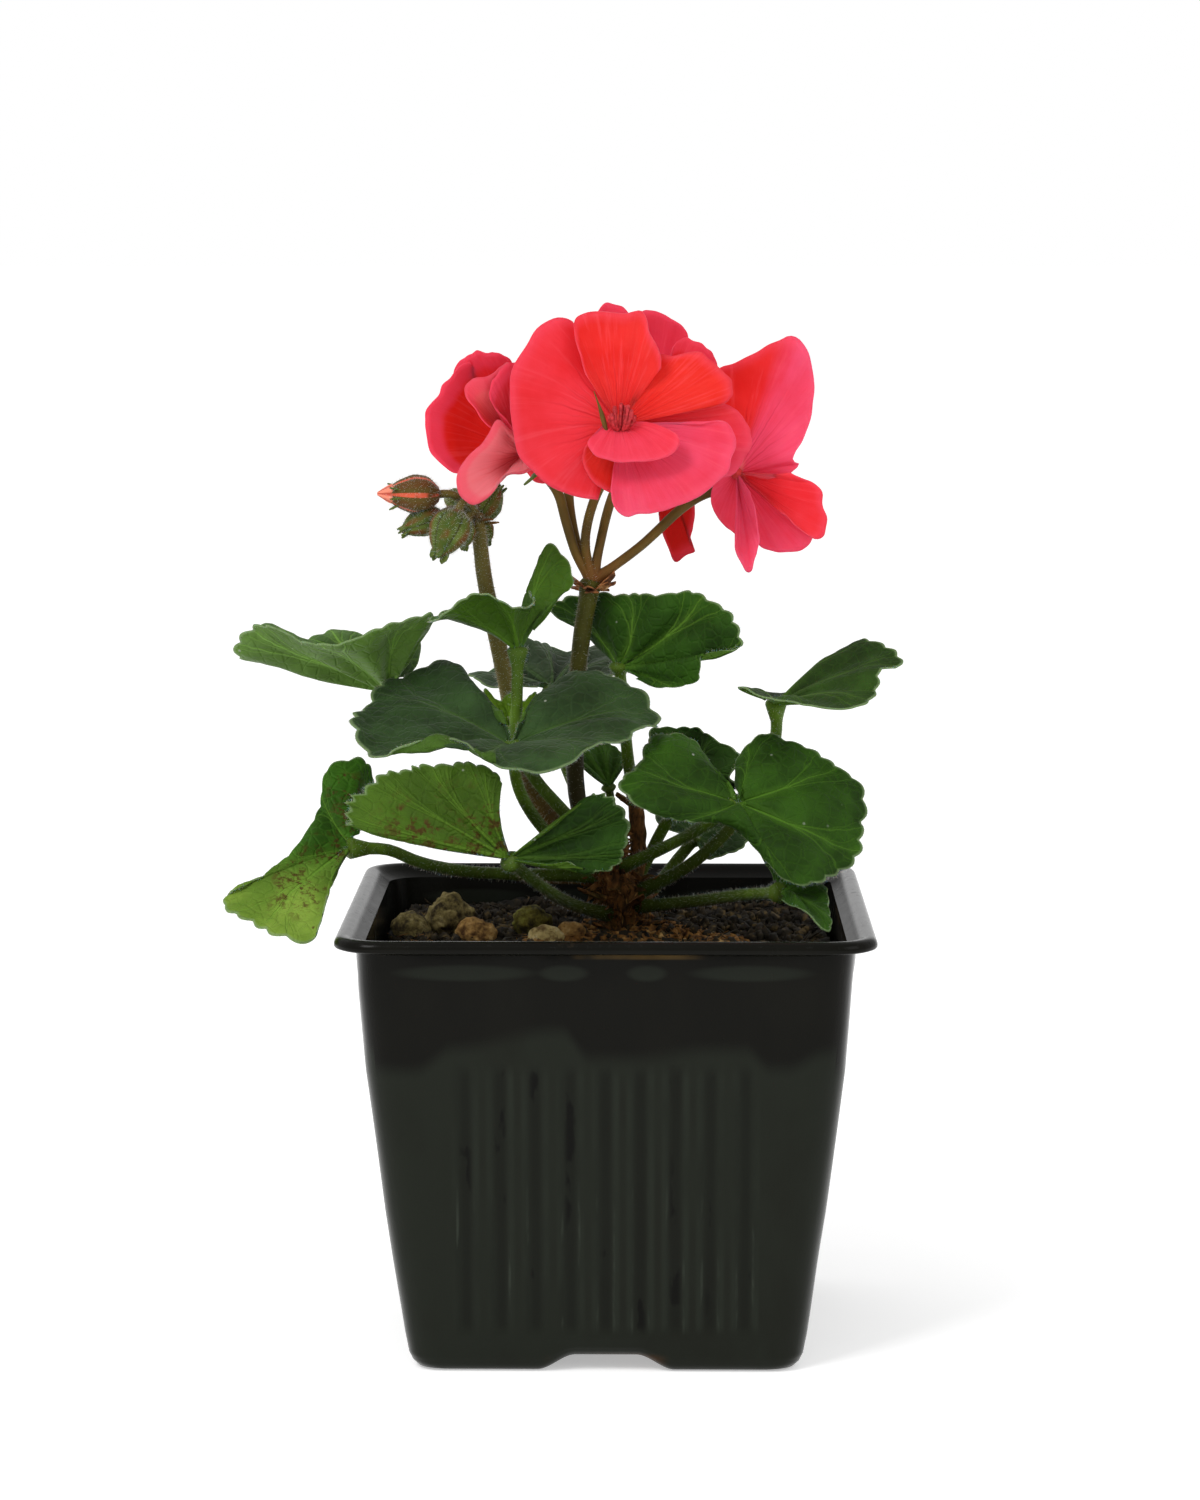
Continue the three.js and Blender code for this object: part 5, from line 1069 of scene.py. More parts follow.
def leaf_finish(leaf, edge_length):
    """Green velvet with veins. The pattern runs round the edge (u) and out from the hub (r)."""
    finish, tone, shader = new_finish(leaf["name"] + " blade", {
        "Specular IOR Level": 0.09, "Sheen Weight": leaf.get("sheen", 0.02), "Sheen Roughness": 0.45,
        "Sheen Tint": (0.85, 0.95, 0.85, 1), "Subsurface Weight": 0.1, "Subsurface Radius": (0.6, 1.0, 0.25),
        "Subsurface Scale": 0.0012})
    place = tone.place()
    u, r, _ = tone.node("ShaderNodeTexCoord", None, None, 2).parts()
    under, pale = tone.mark("under"), tone.mark("pale")
    broad = tone.cloud(place, 95.0, 3.0)
    fine = tone.cloud(place, 900.0, 4.0, 0.6)
    wander = (tone.cloud(place, 130.0, 2.0) - 0.5) * 0.035 * r
    off = abs(((u + wander) * float(leaf["veins"])).fraction() - 0.5)
    reach = r * (edge_length / leaf["veins"])

    def branch(way, start, soft_edge):
        """Side veins that turn off the main ones by the given way, past one share of the way out."""
        return (1.0 - (abs(off - way) * reach).ramp(*soft_edge)) * r.ramp(start, start + 0.08)

    main = 1.0 - (off * reach / (0.62 - 0.42 * r)).ramp(0.35, 1.0)
    fork_way = (r - 0.36) * 0.42
    fork = branch(fork_way, 0.34, (0.08, 0.34))
    second = branch((r - 0.62) * 0.34, 0.60, (0.05, 0.24))
    third = branch(fork_way + (r - 0.66) * 0.3, 0.64, (0.05, 0.24))
    finer = tone.calc("MAXIMUM", fork * 0.7, (second + third) * 0.4)
    veins = tone.calc("MAXIMUM", main, finer) * (1.0 - 0.45 * r)
    halo = (1.0 - (off * reach / (2.4 - 1.2 * r)).ramp(0.0, 1.0)) * (1.0 - 0.6 * r)
    net = tone.node("ShaderNodeTexVoronoi", {"feature": "DISTANCE_TO_EDGE"}, {
        "Vector": place, "Scale": 420.0}).ramp(0.0, 0.16)
    zone = r.ramp(0.42, 0.55) * (1.0 - r.ramp(0.66, 0.82))
    top, low = leaf["top"], leaf["under"]
    light = tuple(1.5 * c + 0.001 for c in top)
    bright = tuple(2.1 * c + extra for c, extra in zip(low, (0.02, 0.035, 0.004)))
    colour = tone.coats(
        times(top, 0.55),
        (broad.ramp(0.3, 0.7), light),
        (zone * 0.35, times(top, 0.5)),
        ((1.0 - net) * 0.25, light),
        (under, tone.blend(broad.ramp(0.25, 0.75), times(low, 0.75), times(low, 1.2))),
        (pale, tone.blend(broad.ramp(0.3, 0.7), (0.095, 0.175, 0.016), (0.18, 0.28, 0.036))),
        (halo * (leaf["vein"] * 0.35), bright),
        (veins * (leaf["vein"] * 0.7), bright),
        # pale margin: the colour of its fringe of hairs, with a painted velvet sheen along the edge
        (r.ramp(0.97, 0.998) * 0.7, (0.19, 0.27, 0.12)))
    if leaf.get("dirty"):
        dirt = tone.cloud(tone.stretch(place, (1.0, 1.0, 1.3)), 420.0, 6.0, 0.75).ramp(0.50, 0.60)
        dirt = dirt * broad.ramp(0.36, 0.5) * (1.0 - r.ramp(0.6, 0.9))
        spots = tone.specks(place, 700.0, 0.10, 0.4) * broad.ramp(0.4, 0.55)
        colour = tone.blend(tone.calc("MINIMUM", dirt + spots, 1.0) * 0.85, colour, (0.06, 0.023, 0.006))
    lint = tone.specks(place, 640.0, 0.012, 0.25)
    height = fine * 0.35 + (net - 1.0) * 0.35 + veins * (under * 2.0 - 1.0) * 1.2
    feed(tone, shader, {
        "Base Color": tone.blend(lint * 0.5, colour, (0.5, 0.52, 0.45)),
        "Roughness": 0.62 - under * 0.1 + (fine - 0.5) * 0.2,
        "Normal": tone.bump(height, 0.6, 0.0007),
    })
    return finish


def green_stem_finish(name, green, brown, shift):
    """Stem skin: green that turns brown-red in streaks and towards the foot, with fine down."""
    finish, tone, shader = new_finish(name, {
        "Specular IOR Level": 0.12, "Sheen Weight": 0.03, "Sheen Tint": (0.9, 0.95, 0.85, 1),
        "Subsurface Weight": 0.08, "Subsurface Radius": (0.6, 1.0, 0.25), "Subsurface Scale": 0.0012})
    place = tone.place()
    streaks = tone.cloud(tone.stretch(place, (1.0, 1.0, 0.12)), 800.0, 4.0, 0.6)
    broad = tone.cloud(place, 120.0, 2.0)
    low = 1.0 - place.parts()[2].ramp(*shift)
    colour = tone.coats(
        times(green, 0.7),
        (broad.ramp(0.3, 0.7), times(green, 1.3)),
        (low * 0.85, brown),
        (streaks.ramp(0.5, 0.72) * 0.5, brown))
    feed(tone, shader, {
        "Base Color": colour,
        "Roughness": 0.5 + (streaks - 0.5) * 0.3,
        "Normal": tone.bump(streaks, 0.35, 0.0004),
    })
    return finish


petiole_skin = green_stem_finish(
    "petiole skin", (0.064, 0.118, 0.008), (0.032, 0.038, 0.004), (0.080, 0.102))
bright_skin = green_stem_finish(
    "bright petiole skin", (0.080, 0.150, 0.012), (0.040, 0.058, 0.005), (0.098, 0.122))
leaf_edges, petiole_patches = [], []
for leaf in LEAVES:
    petiole = leaf_petiole(leaf)
    bodies, finishes = [petiole], [bright_skin if "young_stem" in leaf else petiole_skin]
    lobes = [{**leaf, **leaf["lobe"]}] if "lobe" in leaf else []
    for shape in [leaf] + lobes:
        blade, edge_patch, edge_length = leaf_blade(shape)
        blade["finish"] = len(finishes)
        bodies.append(blade)
        finishes.append(leaf_finish(shape, edge_length))
        leaf_edges.append(edge_patch)
    piece = put_together(leaf["name"] + "_fine", bodies, finishes)
    fix(piece, leaf["slot"], leaf["name"])
    petiole_patches.append(open_patch(petiole["points"], petiole["faces"]))


# The bud shoot is a brown, downy stalk with seven closed buds round its end. Each bud is wrapped in
# five green sepals with brown-red ribs, and the biggest shows coral petals between them at its tip.
SHOOT_PATH = [(-1, 13.5, 91), (-8.5, 11, 99), (-13.5, 9, 106), (-17.5, 7.5, 115), (-20, 6.5, 128),
              (-22, 5.5, 138), (-25, 4, 153), (-26.5, 3.5, 166)]
SHOOT_RADII = (2.25, 1.45)
BUD_KNOT = (-26.6, 3.5, 166.5)
# Base, tip and radius of each bud, the biggest first
BUDS = [
    ((-34, -1, 170.5), (-45, -3, 170.7), 3.8), ((-33.5, 0, 166.5), (-41.5, -3, 163.3), 3.0),
    ((-30, -3.5, 167), (-34, -8, 158.5), 4.0), ((-26, 5, 165.5), (-21.8, 7, 171.7), 2.7),
    ((-25.5, 6.5, 165), (-24.5, 9, 160), 1.9), ((-29.5, 7, 168), (-33, 12, 170), 2.4),
    ((-28, 1, 165), (-29, -0.5, 159.5), 1.8),
]
BUD_PETALS = ((-38, -1.7, 170.6), (-46.2, -3.1, 170.8), 2.3)
SEPALS = 5
BUD_SCALES = 9


def egg(base, tip, radius, profile, ribs, relief=0.0, sides=40, steps=20, **marks):
    """Egg-shaped body between two points, ribbed round its axis. The mark 'rib' is 1 on a rib."""
    base, tip = np.asarray(base, float), np.asarray(tip, float)
    axis = tip - base
    across = unit(np.cross(axis, (1, 0, 0) if abs(axis[2]) > abs(axis[0]) else (0, 0, 1)))
    third = unit(np.cross(axis, across))
    turns = np.arange(sides) * 2 * np.pi / sides
    around = np.cos(turns)[:, None] * across + np.sin(turns)[:, None] * third
    shares = np.sin(np.linspace(0, np.pi / 2, steps + 1)) ** 1.2
    girths = np.interp(shares, [row[0] for row in profile], [row[1] for row in profile])
    girths = np.convolve(np.pad(girths, 1, mode="edge"), (0.25, 0.5, 0.25), "valid")
    wave = np.abs(np.cos(ribs * turns / 2)) if ribs else np.zeros(sides)
    rings = []
    for share, girth in zip(shares, girths):
        reach = girth * radius * (1 + relief * (2 * wave - 1))
        rings.append(base + axis * share + reach[:, None] * around)
    points, faces = skin(rings)
    return part(points, faces, rib=np.concatenate([np.tile(wave, steps + 1), [0, 0]]), **marks)


bud_profile = [(0, 0.35), (0.18, 0.9), (0.45, 1), (0.75, 0.66), (1, 0.12)]
round_profile = [(0, 0.4), (0.3, 1), (0.72, 0.72), (1, 0.12)]


def sepal_tips(tip, base, radius, spread, length, seed):
    """Loose points of the sepals round a bud's tip, turned a little outwards."""
    ahead = unit(np.array(tip, float) - base)
    across = unit(np.cross(ahead, (0.2, 0.3, 1.0)))
    third = np.cross(ahead, across)
    made = []
    for k in range(SEPALS):
        turn = 2 * math.pi * (k + 0.2 * math.sin(seed + 2 * k)) / SEPALS
        way = math.cos(turn) * across + math.sin(turn) * third
        root = tip - ahead * length * 1.1 + way * radius * 0.3
        end = tip + ahead * length * 0.35 + way * spread
        made.append(papery_scale(root, end, radius * 0.26, curl=0.2, thickness=0.3, steps=5, seed=seed + k,
                                 rib=0.6, opening=0.0))
    return made


sepal_green, tone, shader = new_finish("downy sepals", {
    "Specular IOR Level": 0.12, "Sheen Weight": 0.06, "Sheen Tint": (0.95, 0.95, 0.85, 1)})
place = tone.place()
rib, opening = tone.mark("rib"), tone.mark("opening")
fine = tone.cloud(place, 900.0, 4.0, 0.6)
broad = tone.cloud(place, 260.0, 2.0)
coral_stripes = opening * (1.0 - rib.ramp(0.26, 0.42)) * broad.ramp(0.3, 0.5)
colour = tone.coats(
    (0.050, 0.082, 0.010),
    (broad.ramp(0.3, 0.7), (0.105, 0.14, 0.026)),
    (rib.ramp(0.6, 0.95) * broad.ramp(0.3, 0.6) * 0.85, (0.13, 0.036, 0.010)),
    ((1.0 - rib.ramp(0.0, 0.25)) * 0.85, (0.030, 0.022, 0.005)),
    (opening * 0.7, (0.095, 0.040, 0.010)),
    (coral_stripes, (0.62, 0.10, 0.05)),
    (fine.ramp(0.6, 0.8) * 0.3, (0.24, 0.24, 0.12)))
feed(tone, shader, {
    "Base Color": colour,
    "Roughness": 0.7 + (fine - 0.5) * 0.2,
    "Normal": tone.bump(fine, 0.5, 0.0005),
})

brown_stalk = green_stem_finish(
    "brown stalk skin", (0.125, 0.105, 0.025), (0.105, 0.048, 0.012), (0.10, 0.118))

shoot_parts = [stem(SHOOT_PATH, *SHOOT_RADII, sides=16, steps=60, ripple=0.06, seed=3.0,
                    finish=1, rib=0.0, opening=0.0)]
for k, (base, tip, radius) in enumerate(BUDS):
    base, tip = np.array(base, float), np.array(tip, float)
    path = [BUD_KNOT, base - 0.25 * (tip - base), base + 0.12 * (tip - base)]
    pedicel = stem(path, 0.75, 0.85, sides=8, steps=10, finish=1, rib=0.0, opening=0.0)
    profile = bud_profile if radius > 2.5 else round_profile
    shoot_parts += [pedicel, egg(base, tip, radius, profile, SEPALS, 0.10, opening=float(k == 0))]
    if k == 0:
        shoot_parts += sepal_tips(base + 0.82 * (tip - base), base, radius, 0.75 * radius, 0.7 * radius, 11)
    else:
        shoot_parts += sepal_tips(tip, base, radius, 0.35 * radius, 0.45 * radius, 30 + 7 * k)
for k in range(BUD_SCALES):
    turn = 2 * math.pi * k / BUD_SCALES
    root = np.array(BUD_KNOT) + (0.8 * math.cos(turn), 0.8 * math.sin(turn), -2.2 + 0.4 * (k % 3))
    way = np.array([math.cos(turn), math.sin(turn), 0.3 + 0.25 * (k % 2)])
    shoot_parts.append(papery_scale(root, root + way * 3.6, 0.9, steps=5, seed=60 + k, rib=0.9, opening=0.0))
bud_shoot = put_together("bud_shoot_fine", shoot_parts, [sepal_green, brown_stalk])
fix(bud_shoot, "bud_shoot", "bud_shoot")

coral, tone, shader = new_finish("coral bud petals", {
    "Specular IOR Level": 0.3, "Roughness": 0.55, "Subsurface Weight": 0.15,
    "Subsurface Radius": (1.0, 0.3, 0.25), "Subsurface Scale": 0.001})
rib = tone.mark("rib")
colour = tone.blend(rib.ramp(0.1, 0.8), (0.5, 0.06, 0.03), (0.78, 0.24, 0.15))
feed(tone, shader, {"Base Color": colour, "Normal": tone.bump(rib, 0.4, 0.0004)})
bud_petals = put_together("bud_petals_fine", [egg(*BUD_PETALS, round_profile, SEPALS, 0.14)], [coral])
fix(bud_petals, "bud_petals", "bud_petals")


# The flower stalk is a stout green-brown stem that ends in a knot with ragged brown bracts. Five
# slim pedicels fan out from the knot, each with five narrow sepals behind its floret.
STALK_PATH = [(-2.5, 13.5, 96), (-6.2, 12.3, 106), (-6.6, 10.5, 128), (-5.3, 9, 142), (-3.6, 8, 152)]
STALK_RADII = (1.75, 1.8)
PEDICEL_RADII = (0.95, 1.05)
BRACTS = 13
KNOT = (-3.2, 8, 152.3)
PEDICELS = [
    [KNOT, (-4.7, 7.5, 160), (-3.2, 6, 168), (0.4, 3, 176), (2.6, 0.6, 181.8)],
    [KNOT, (-6.4, 8, 157.6), (-8.6, 8, 164.5), (-10.3, 8, 170.4), (-14, 7.8, 175.4)],
    [KNOT, (6.5, 9.5, 159.4), (16.2, 11, 168), (22.6, 11, 171.4)],
    [KNOT, (-6.2, 9.4, 159), (-8, 11.5, 168), (-8, 14, 174), (-6.5, 16.5, 181.5)],
    [KNOT, (-1.7, 9.2, 160), (0.3, 12, 168), (3, 15, 174.5), (6, 16.8, 180)],
]
stalk_skin = green_stem_finish(
    "flower stalk skin", (0.066, 0.066, 0.006), (0.018, 0.013, 0.003), (0.118, 0.15))
pedicel_skin = green_stem_finish("pedicel skin", (0.115, 0.072, 0.014), (0.17, 0.065, 0.016), (0.150, 0.160))

stalk_parts = [stem(STALK_PATH, *STALK_RADII, sides=18, steps=60, swellings=((1.0, 0.05, 0.25),),
                    ripple=0.04, seed=1.0)]
for k, path in enumerate(PEDICELS):
    stalk_parts.append(stem(path, *PEDICEL_RADII, steps=30, swellings=((0.0, 0.1, 0.5), (0.97, 0.06, 0.25)),
                            ripple=0.04, seed=float(k), finish=1))
    end = np.array(path[-1], float)
    ahead = unit(end - np.array(path[-2], float))
    across = unit(np.cross(ahead, (0, 0.3, 1)))
    third = np.cross(ahead, across)
    for n in range(SEPALS):
        turn = 2 * math.pi * n / SEPALS
        way = math.cos(turn) * across + math.sin(turn) * third
        stalk_parts.append(papery_scale(
            end + way * 0.5 - ahead * 0.6, end + way * 4.6 + ahead * -0.4, 1.0, curl=0.3,
            thickness=0.35, steps=7, seed=80 + 5 * k + n, finish=2))
for n in range(BRACTS):
    turn = 2 * math.pi * n / BRACTS + 0.3 * math.sin(3 * n)
    way = np.array([math.cos(turn), math.sin(turn), 0.0])
    root = np.array(KNOT) + way * 1.2 + (0, 0, -1.6)
    end = np.array(KNOT) + way * (4.0 + 1.6 * math.sin(2.1 * n) ** 2) + (0, 0, 0.6 + 2.0 * math.cos(1.7 * n))
    stalk_parts.append(papery_scale(root, end, 1.5, curl=0.4, steps=7, ragged=0.4, seed=120 + n, finish=3))

# One sepal of the front floret shows in the gap between its left and upper petals
glimpse = [(-0.3, -7.3, 183.6), (-1.2, -7.5, 187), (-2.7, -7.4, 191.4)]
stalk_parts.append(stem(glimpse, 0.3, 0.1, sides=10, steps=14, swellings=((0.35, 0.3, 1.3),), finish=1))

green_sepal = green_stem_finish("green sepals", (0.09, 0.14, 0.03), (0.1, 0.04, 0.015), (0.0, 0.01))
dry_bract = litter_finish("dry bracts", (0.09, 0.03, 0.01), (0.33, 0.13, 0.04), (0.6, 0.38, 0.18))
stalk_finishes = [stalk_skin, pedicel_skin, green_sepal, dry_bract]
flower_stalk = put_together("flower_stalk_fine", stalk_parts, stalk_finishes)
fix(flower_stalk, "flower_stalk", "flower_stalk")


# The florets stand close in one head. A floret is a ring of thin petals that narrow to a claw, coral
# pink at the sides and orange-red in the upper petals, with fine darker veins from the claw. The orange-red,
# strongest at the claws, is partly the petals' own colour and partly painted light that bounces between
# the petals, and dark red is painted shade on the throats and on petals that lie in shade.
PETAL_THICKNESS = 0.34
# Each floret's throat, and its petals. edge: places round a petal, from one side of its claw to the other.
# lift: how far it arches. warm, pale, dark, rosy and lip: how far its colour goes that way. dark is painted
# shade, and warm is partly orange-red petal colour and partly painted light that bounces between petals. A
# pair of numbers runs across the petal. The petals at the back are given by their tip and spread instead.
FLORETS = {
    "floret_front": ((2.2, -4, 184.5), [
        {"edge": [(-3.5, -5, 194.8), (-5.1, -5.5, 199.5), (-5.9, -6, 203.5), (-7.1, -6.3, 205.3),
             (-9.5, -7, 205.9), (-12, -8, 205.3), (-14, -9, 204), (-15.9, -9.5, 201.2),
             (-17.5, -9.8, 198.3), (-19.1, -9.5, 194.7), (-19.5, -9.5, 190.7), (-18.9, -9.8, 185.8),
             (-18.3, -10, 181.9), (-17.4, -10, 178.3), (-15.2, -10, 175.9), (-12.4, -10, 173.3),
             (-9.4, -9.5, 171.7), (-5.5, -9, 170.5), (-1.9, -8.5, 169.9)],
         "lift": (0, 0.8, 0), "warm": 0.25},
        {"edge": [(-4.3, -7.5, 194.8), (-5.7, -8, 198.6), (-6.5, -8.2, 202.6), (-6.3, -8.5, 205.7),
             (-4.5, -8.5, 206.7), (-2.1, -8.8, 207.3), (0.9, -9, 207.1), (3.5, -9, 206.5), (5, -9, 206.9),
             (6.6, -8.7, 207.3), (7.6, -8.5, 205.9), (8.4, -8.5, 203.2), (9.8, -8, 200.6),
             (10.6, -8, 198.2), (10.6, -7.5, 196)],
         "lift": (0, 0.6, 0), "warm": 0.85},
        {"edge": [(8.4, -4.2, 197.1), (10.6, -4.4, 198.7), (12.8, -4.6, 198.3), (15.4, -5, 198.9),
             (18.3, -5.5, 199.1), (20.7, -5.6, 197.4), (22.7, -5.6, 195.6), (24.5, -5.6, 193.4),
             (25.1, -5.6, 191.2), (24.1, -5.6, 189.6), (22.8, -5.4, 188.8)],
         "lift": (0, -0.8, 0), "warm": 1},
        {"edge": [(20.8, -3.6, 189.6), (23.2, -4, 189), (25.8, -4.4, 187.6), (27.8, -4.5, 184.8),
             (28.6, -4.5, 181.6), (27.6, -4.5, 178.6), (26, -4.5, 176.1), (23.8, -4.7, 174.3),
             (20.8, -5, 174.1)],
         "lift": (0, 0.5, 0), "warm": (0.6, 0.0), "rosy": (0.1, 0.7)},
        {"edge": [(0.7, -12.5, 172.1), (1.3, -14, 169.6), (2.7, -14.8, 167.7), (4.1, -15, 167.1),
             (6.1, -15, 167.7), (8.5, -15, 167.5), (10.8, -15, 167.9), (13.4, -14.5, 169.3),
             (16.4, -14, 170.4), (18.9, -13.5, 171.6), (21.3, -12.5, 173.3), (23.7, -11.5, 175.4),
             (24.5, -11, 177.8), (25.5, -10.5, 179.9), (25.3, -10.5, 182.5), (24.1, -10, 184.9),
             (22.3, -9.5, 185.6), (18.4, -8.5, 185)],
         "lift": (0, 1.2, 0), "rosy": 0.75},
        {"edge": [(-1.3, -7.5, 183.9), (-3.1, -9.5, 182.6), (-3.8, -11, 181.3), (-3.2, -12, 180),
             (-2.2, -13, 178.9), (-0.3, -13.3, 178.3), (2.1, -13.5, 177.7), (6.5, -13.5, 177.7),
             (10.4, -13, 178.3), (13.2, -12.5, 179.4), (14.4, -11.5, 181.2), (14, -10.5, 182.7),
             (12.4, -9.5, 183.8)],
         "lift": (0, 0, 1.2), "rosy": 0.25},
        {"edge": [(-3.9, -6.5, 181.3), (-4.7, -7.5, 178.8), (-4.5, -8.5, 176.2), (-3.1, -9.3, 173.7),
             (-1.5, -9.5, 172.3), (0.7, -9.5, 171.5), (0.9, -9.2, 173.9)],
         # This small petal lies low in the throat, darkened with painted shade.
         "lift": (0, 0.5, 0), "warm": 1, "dark": 0.25},
    ]),
    "floret_left": ((-17, 4.5, 178.5), [
        {"edge": [(-27.7, 1, 197), (-30.6, -1, 195.6), (-32.3, -3, 193.5), (-34.2, -5, 190.6),
             (-35.8, -6.5, 188.3), (-36.1, -7.3, 185.7), (-35.7, -7.8, 182.2), (-34.9, -8.2, 179.4),
             (-33.1, -8.4, 177), (-30.8, -8.3, 175.6), (-28, -7.8, 175.6)],
         "lift": (0, 4.5, 0), "warm": 1, "lip": 1},
        {"edge": [(-31.8, 3.5, 193.3), (-30.4, 2.2, 196.1), (-28.5, 1.2, 198), (-26.9, 0.8, 199),
             (-24.7, 0.8, 199.2), (-22.3, 1.2, 198.8), (-20.1, 2, 197.9), (-18.9, 3, 195.7)],
         "lift": (0, 2, 0), "warm": 0.2, "lip": 1},
        {"edge": [(-20.1, -3.2, 197.1), (-22.1, -4.4, 195.6), (-24, -5.2, 194.4), (-26.4, -6, 193.8),
             (-28.2, -6.4, 192.6), (-28.2, -6.6, 190.6), (-27, -6.8, 188.3), (-25.3, -7, 186.2),
             (-23.4, -7, 184.6), (-21.6, -6.6, 184), (-20.2, -5.5, 184)],
         "lift": (0, -1.5, 0), "warm": (0.2, 0.8), "pale": (0.6, 0), "lip": 0.6},
        {"edge": [(-18.1, -4.5, 197.1), (-20, -5.6, 196.8), (-22, -6.4, 194.8), (-23.4, -6.8, 192.2),
             (-23.4, -6.8, 189.9), (-22, -6.6, 187.7), (-20.2, -6.2, 185.7), (-18.9, -5.6, 184)],
         "lift": (0, -2, 0), "warm": 0.5, "rosy": 0.3, "lip": 1},
        {"edge": [(-18.9, -6, 183.1), (-20.4, -6.8, 184.3), (-22, -7.6, 185.7), (-23.7, -8.9, 183),
             (-25.3, -9.4, 180.8), (-27.3, -9.8, 178.9), (-28.9, -10.2, 176.9), (-29.9, -10.5, 174.4),
             (-29.5, -10.5, 171.6), (-28.3, -10.5, 170), (-26.7, -10.5, 169), (-24.9, -10, 169.8),
             (-23.2, -9.5, 171.3), (-21.6, -8.5, 173.5), (-19.5, -7, 174.6), (-17.1, -5.6, 174.9),
             (-15.1, -4.6, 175.8)],
         "lift": (0, -4, 0), "pale": (0.75, 1), "lip": 0.5},
    ]),
    "floret_right": ((26, 7, 174.5), [
        {"edge": [(21.3, 6.5, 189.2), (21.3, 6.3, 193.2), (22.5, 6, 195.8), (25.1, 5, 196.7),
             (27.5, 4.2, 197.9), (30.1, 3.5, 198.9), (32.5, 3, 200.5), (34.5, 2.6, 201.3),
             (36.3, 2.5, 202.1), (38.1, 2.5, 201.7), (39.7, 2.5, 200.1), (40.7, 2.8, 197.7),
             (41.3, 3, 194.9), (41.4, 3.2, 191.7), (41, 3.3, 188.3), (40.4, 3.4, 184.3),
             (39.2, 3.5, 180.9), (37.8, 3.6, 178.7), (37.3, 3.7, 177), (38.5, 3.7, 176.4),
             (36.9, 4, 174.8), (35.5, 4.5, 173.4)],
         "lift": (0, 1.5, 0), "warm": (0.8, -0.3), "rosy": (-0.8, 3.4)},
        {"edge": [(32.2, 3.5, 173.4), (34.4, 2.5, 173.9), (36.6, 1.5, 174.3), (39.2, 0.5, 173.8),
             (41.6, 0, 172.6), (43, -0.5, 170.8), (43.2, -0.8, 168), (43.8, -1, 165.4), (43.4, -1, 162.4),
             (41.6, -1, 161.6), (38.6, -0.5, 163.8), (35.6, 0.5, 166.3), (33, 2, 168.5)],
         "lift": (0, -0.5, 0), "warm": 0.45, "rosy": 0.1},
        {"edge": [(33.1, 5.6, 169.5), (36.7, 4.6, 167.9), (39.9, 3.4, 165.2), (41.3, 2.7, 161.8),
             (40.3, 2.5, 159.8), (37.7, 2.5, 159), (35.7, 2.5, 158.7), (33.1, 3, 159.1),
             (30.7, 3.5, 159.9), (29.5, 4.5, 163.1)],
         "lift": (0, 0.5, 0), "rosy": 0.9},
        {"edge": [(28.5, 0.5, 171), (29.1, -1, 168.4), (29.9, -2.6, 164.5), (30.3, -4, 161),
             (29.5, -5, 158.1), (28.5, -5.5, 155.1), (27.7, -5.5, 155.3), (26.5, -5, 157.7),
             (25.7, -4.5, 159.9), (25.7, -3.8, 162)],
         "lift": (0, -0.6, 0), "pale": 0.1, "rosy": 1},
        {"edge": [(22.6, 5.4, 173.5), (21.6, 5.1, 172.3), (21, 5, 170.5), (21, 5, 168.1),
             (22.2, 5, 165.4), (24.2, 5, 163.4), (26.3, 5, 162), (27.5, 5.2, 164.2)],
         "lift": (0, 0, 0), "rosy": 0.7},
    ]),
    "floret_back_left": ((-6.5, 20, 185), [
        {"edge": [(-5.4, 18.5, 199), (-4.2, 18, 203.5), (-2.4, 17.8, 206.7), (-0.8, 17.6, 208.3),
             (0.8, 17.5, 208.3), (2.4, 17.4, 207.6), (4.3, 17.4, 206.3), (6.4, 17.4, 203.5),
             (7, 17.5, 199)],
         "lift": (0, 1, 0), "rosy": 0.6, "lip": 0.7},
        {"tip": (-19, 26, 195), "facing": (0, -1, 0.2), "spread": 36, "cup": -1, "curl": 0, "warm": 0.2},
        {"tip": (-14, 30, 171), "facing": (0, -1, -0.3), "spread": 38, "cup": -1, "curl": 0, "warm": 0.3},
        {"tip": (-8, 34, 202), "facing": (0, -1, 0.4), "spread": 38, "cup": -1, "curl": 1, "warm": 0.3},
    ]),
    "floret_back_right": ((8.5, 20, 184.5), [
        {"edge": [(3.8, 17.5, 201), (5, 17.2, 205.2), (6.8, 17, 206.9), (8.8, 16.8, 207),
             (10.6, 16.8, 206.4), (12.6, 16.6, 205.2), (14.6, 16.5, 204.1), (15.6, 16.5, 202.6),
             (16, 16.5, 200.5), (15.6, 16.8, 197)],
         "lift": (0, 1.5, 0), "rosy": 0.7, "lip": 0.6},
        {"edge": [(12.5, 14, 197.5), (13.8, 13.6, 200.6), (15.6, 13.4, 201.6), (17.2, 13.2, 201),
             (18.8, 13, 200.3), (20.4, 12.8, 199), (21.4, 12.7, 197.7), (22, 12.7, 196),
             (22.4, 12.8, 193.5), (21.6, 13, 190)],
         "lift": (0, -1, 0), "warm": 0.5, "rosy": (0.1, 0.6), "lip": 0.6},
        {"tip": (24, 29, 189), "facing": (0, -1, 0.2), "spread": 38, "cup": -1, "curl": 0, "warm": 0.3},
        {"tip": (12, 34, 173), "facing": (0, -1, -0.3), "spread": 38, "cup": -1, "curl": 0, "warm": 0.3},
        {"edge": [(12.1, 16.8, 170.4), (10.3, 16.2, 165.7), (10.9, 16, 162.3), (12.1, 16, 158.8),
             (13.6, 16, 155.9), (15.6, 16, 156.9), (17.7, 16, 157.9), (16.9, 16, 159.6),
             (17.3, 16, 162.7), (17.7, 16.3, 167.4), (17, 16.8, 171.4)],
         # This petal hangs low at the back, darkened with painted shade.
         "lift": (0, -0.5, 0), "warm": 1, "dark": 1},
    ]),
}


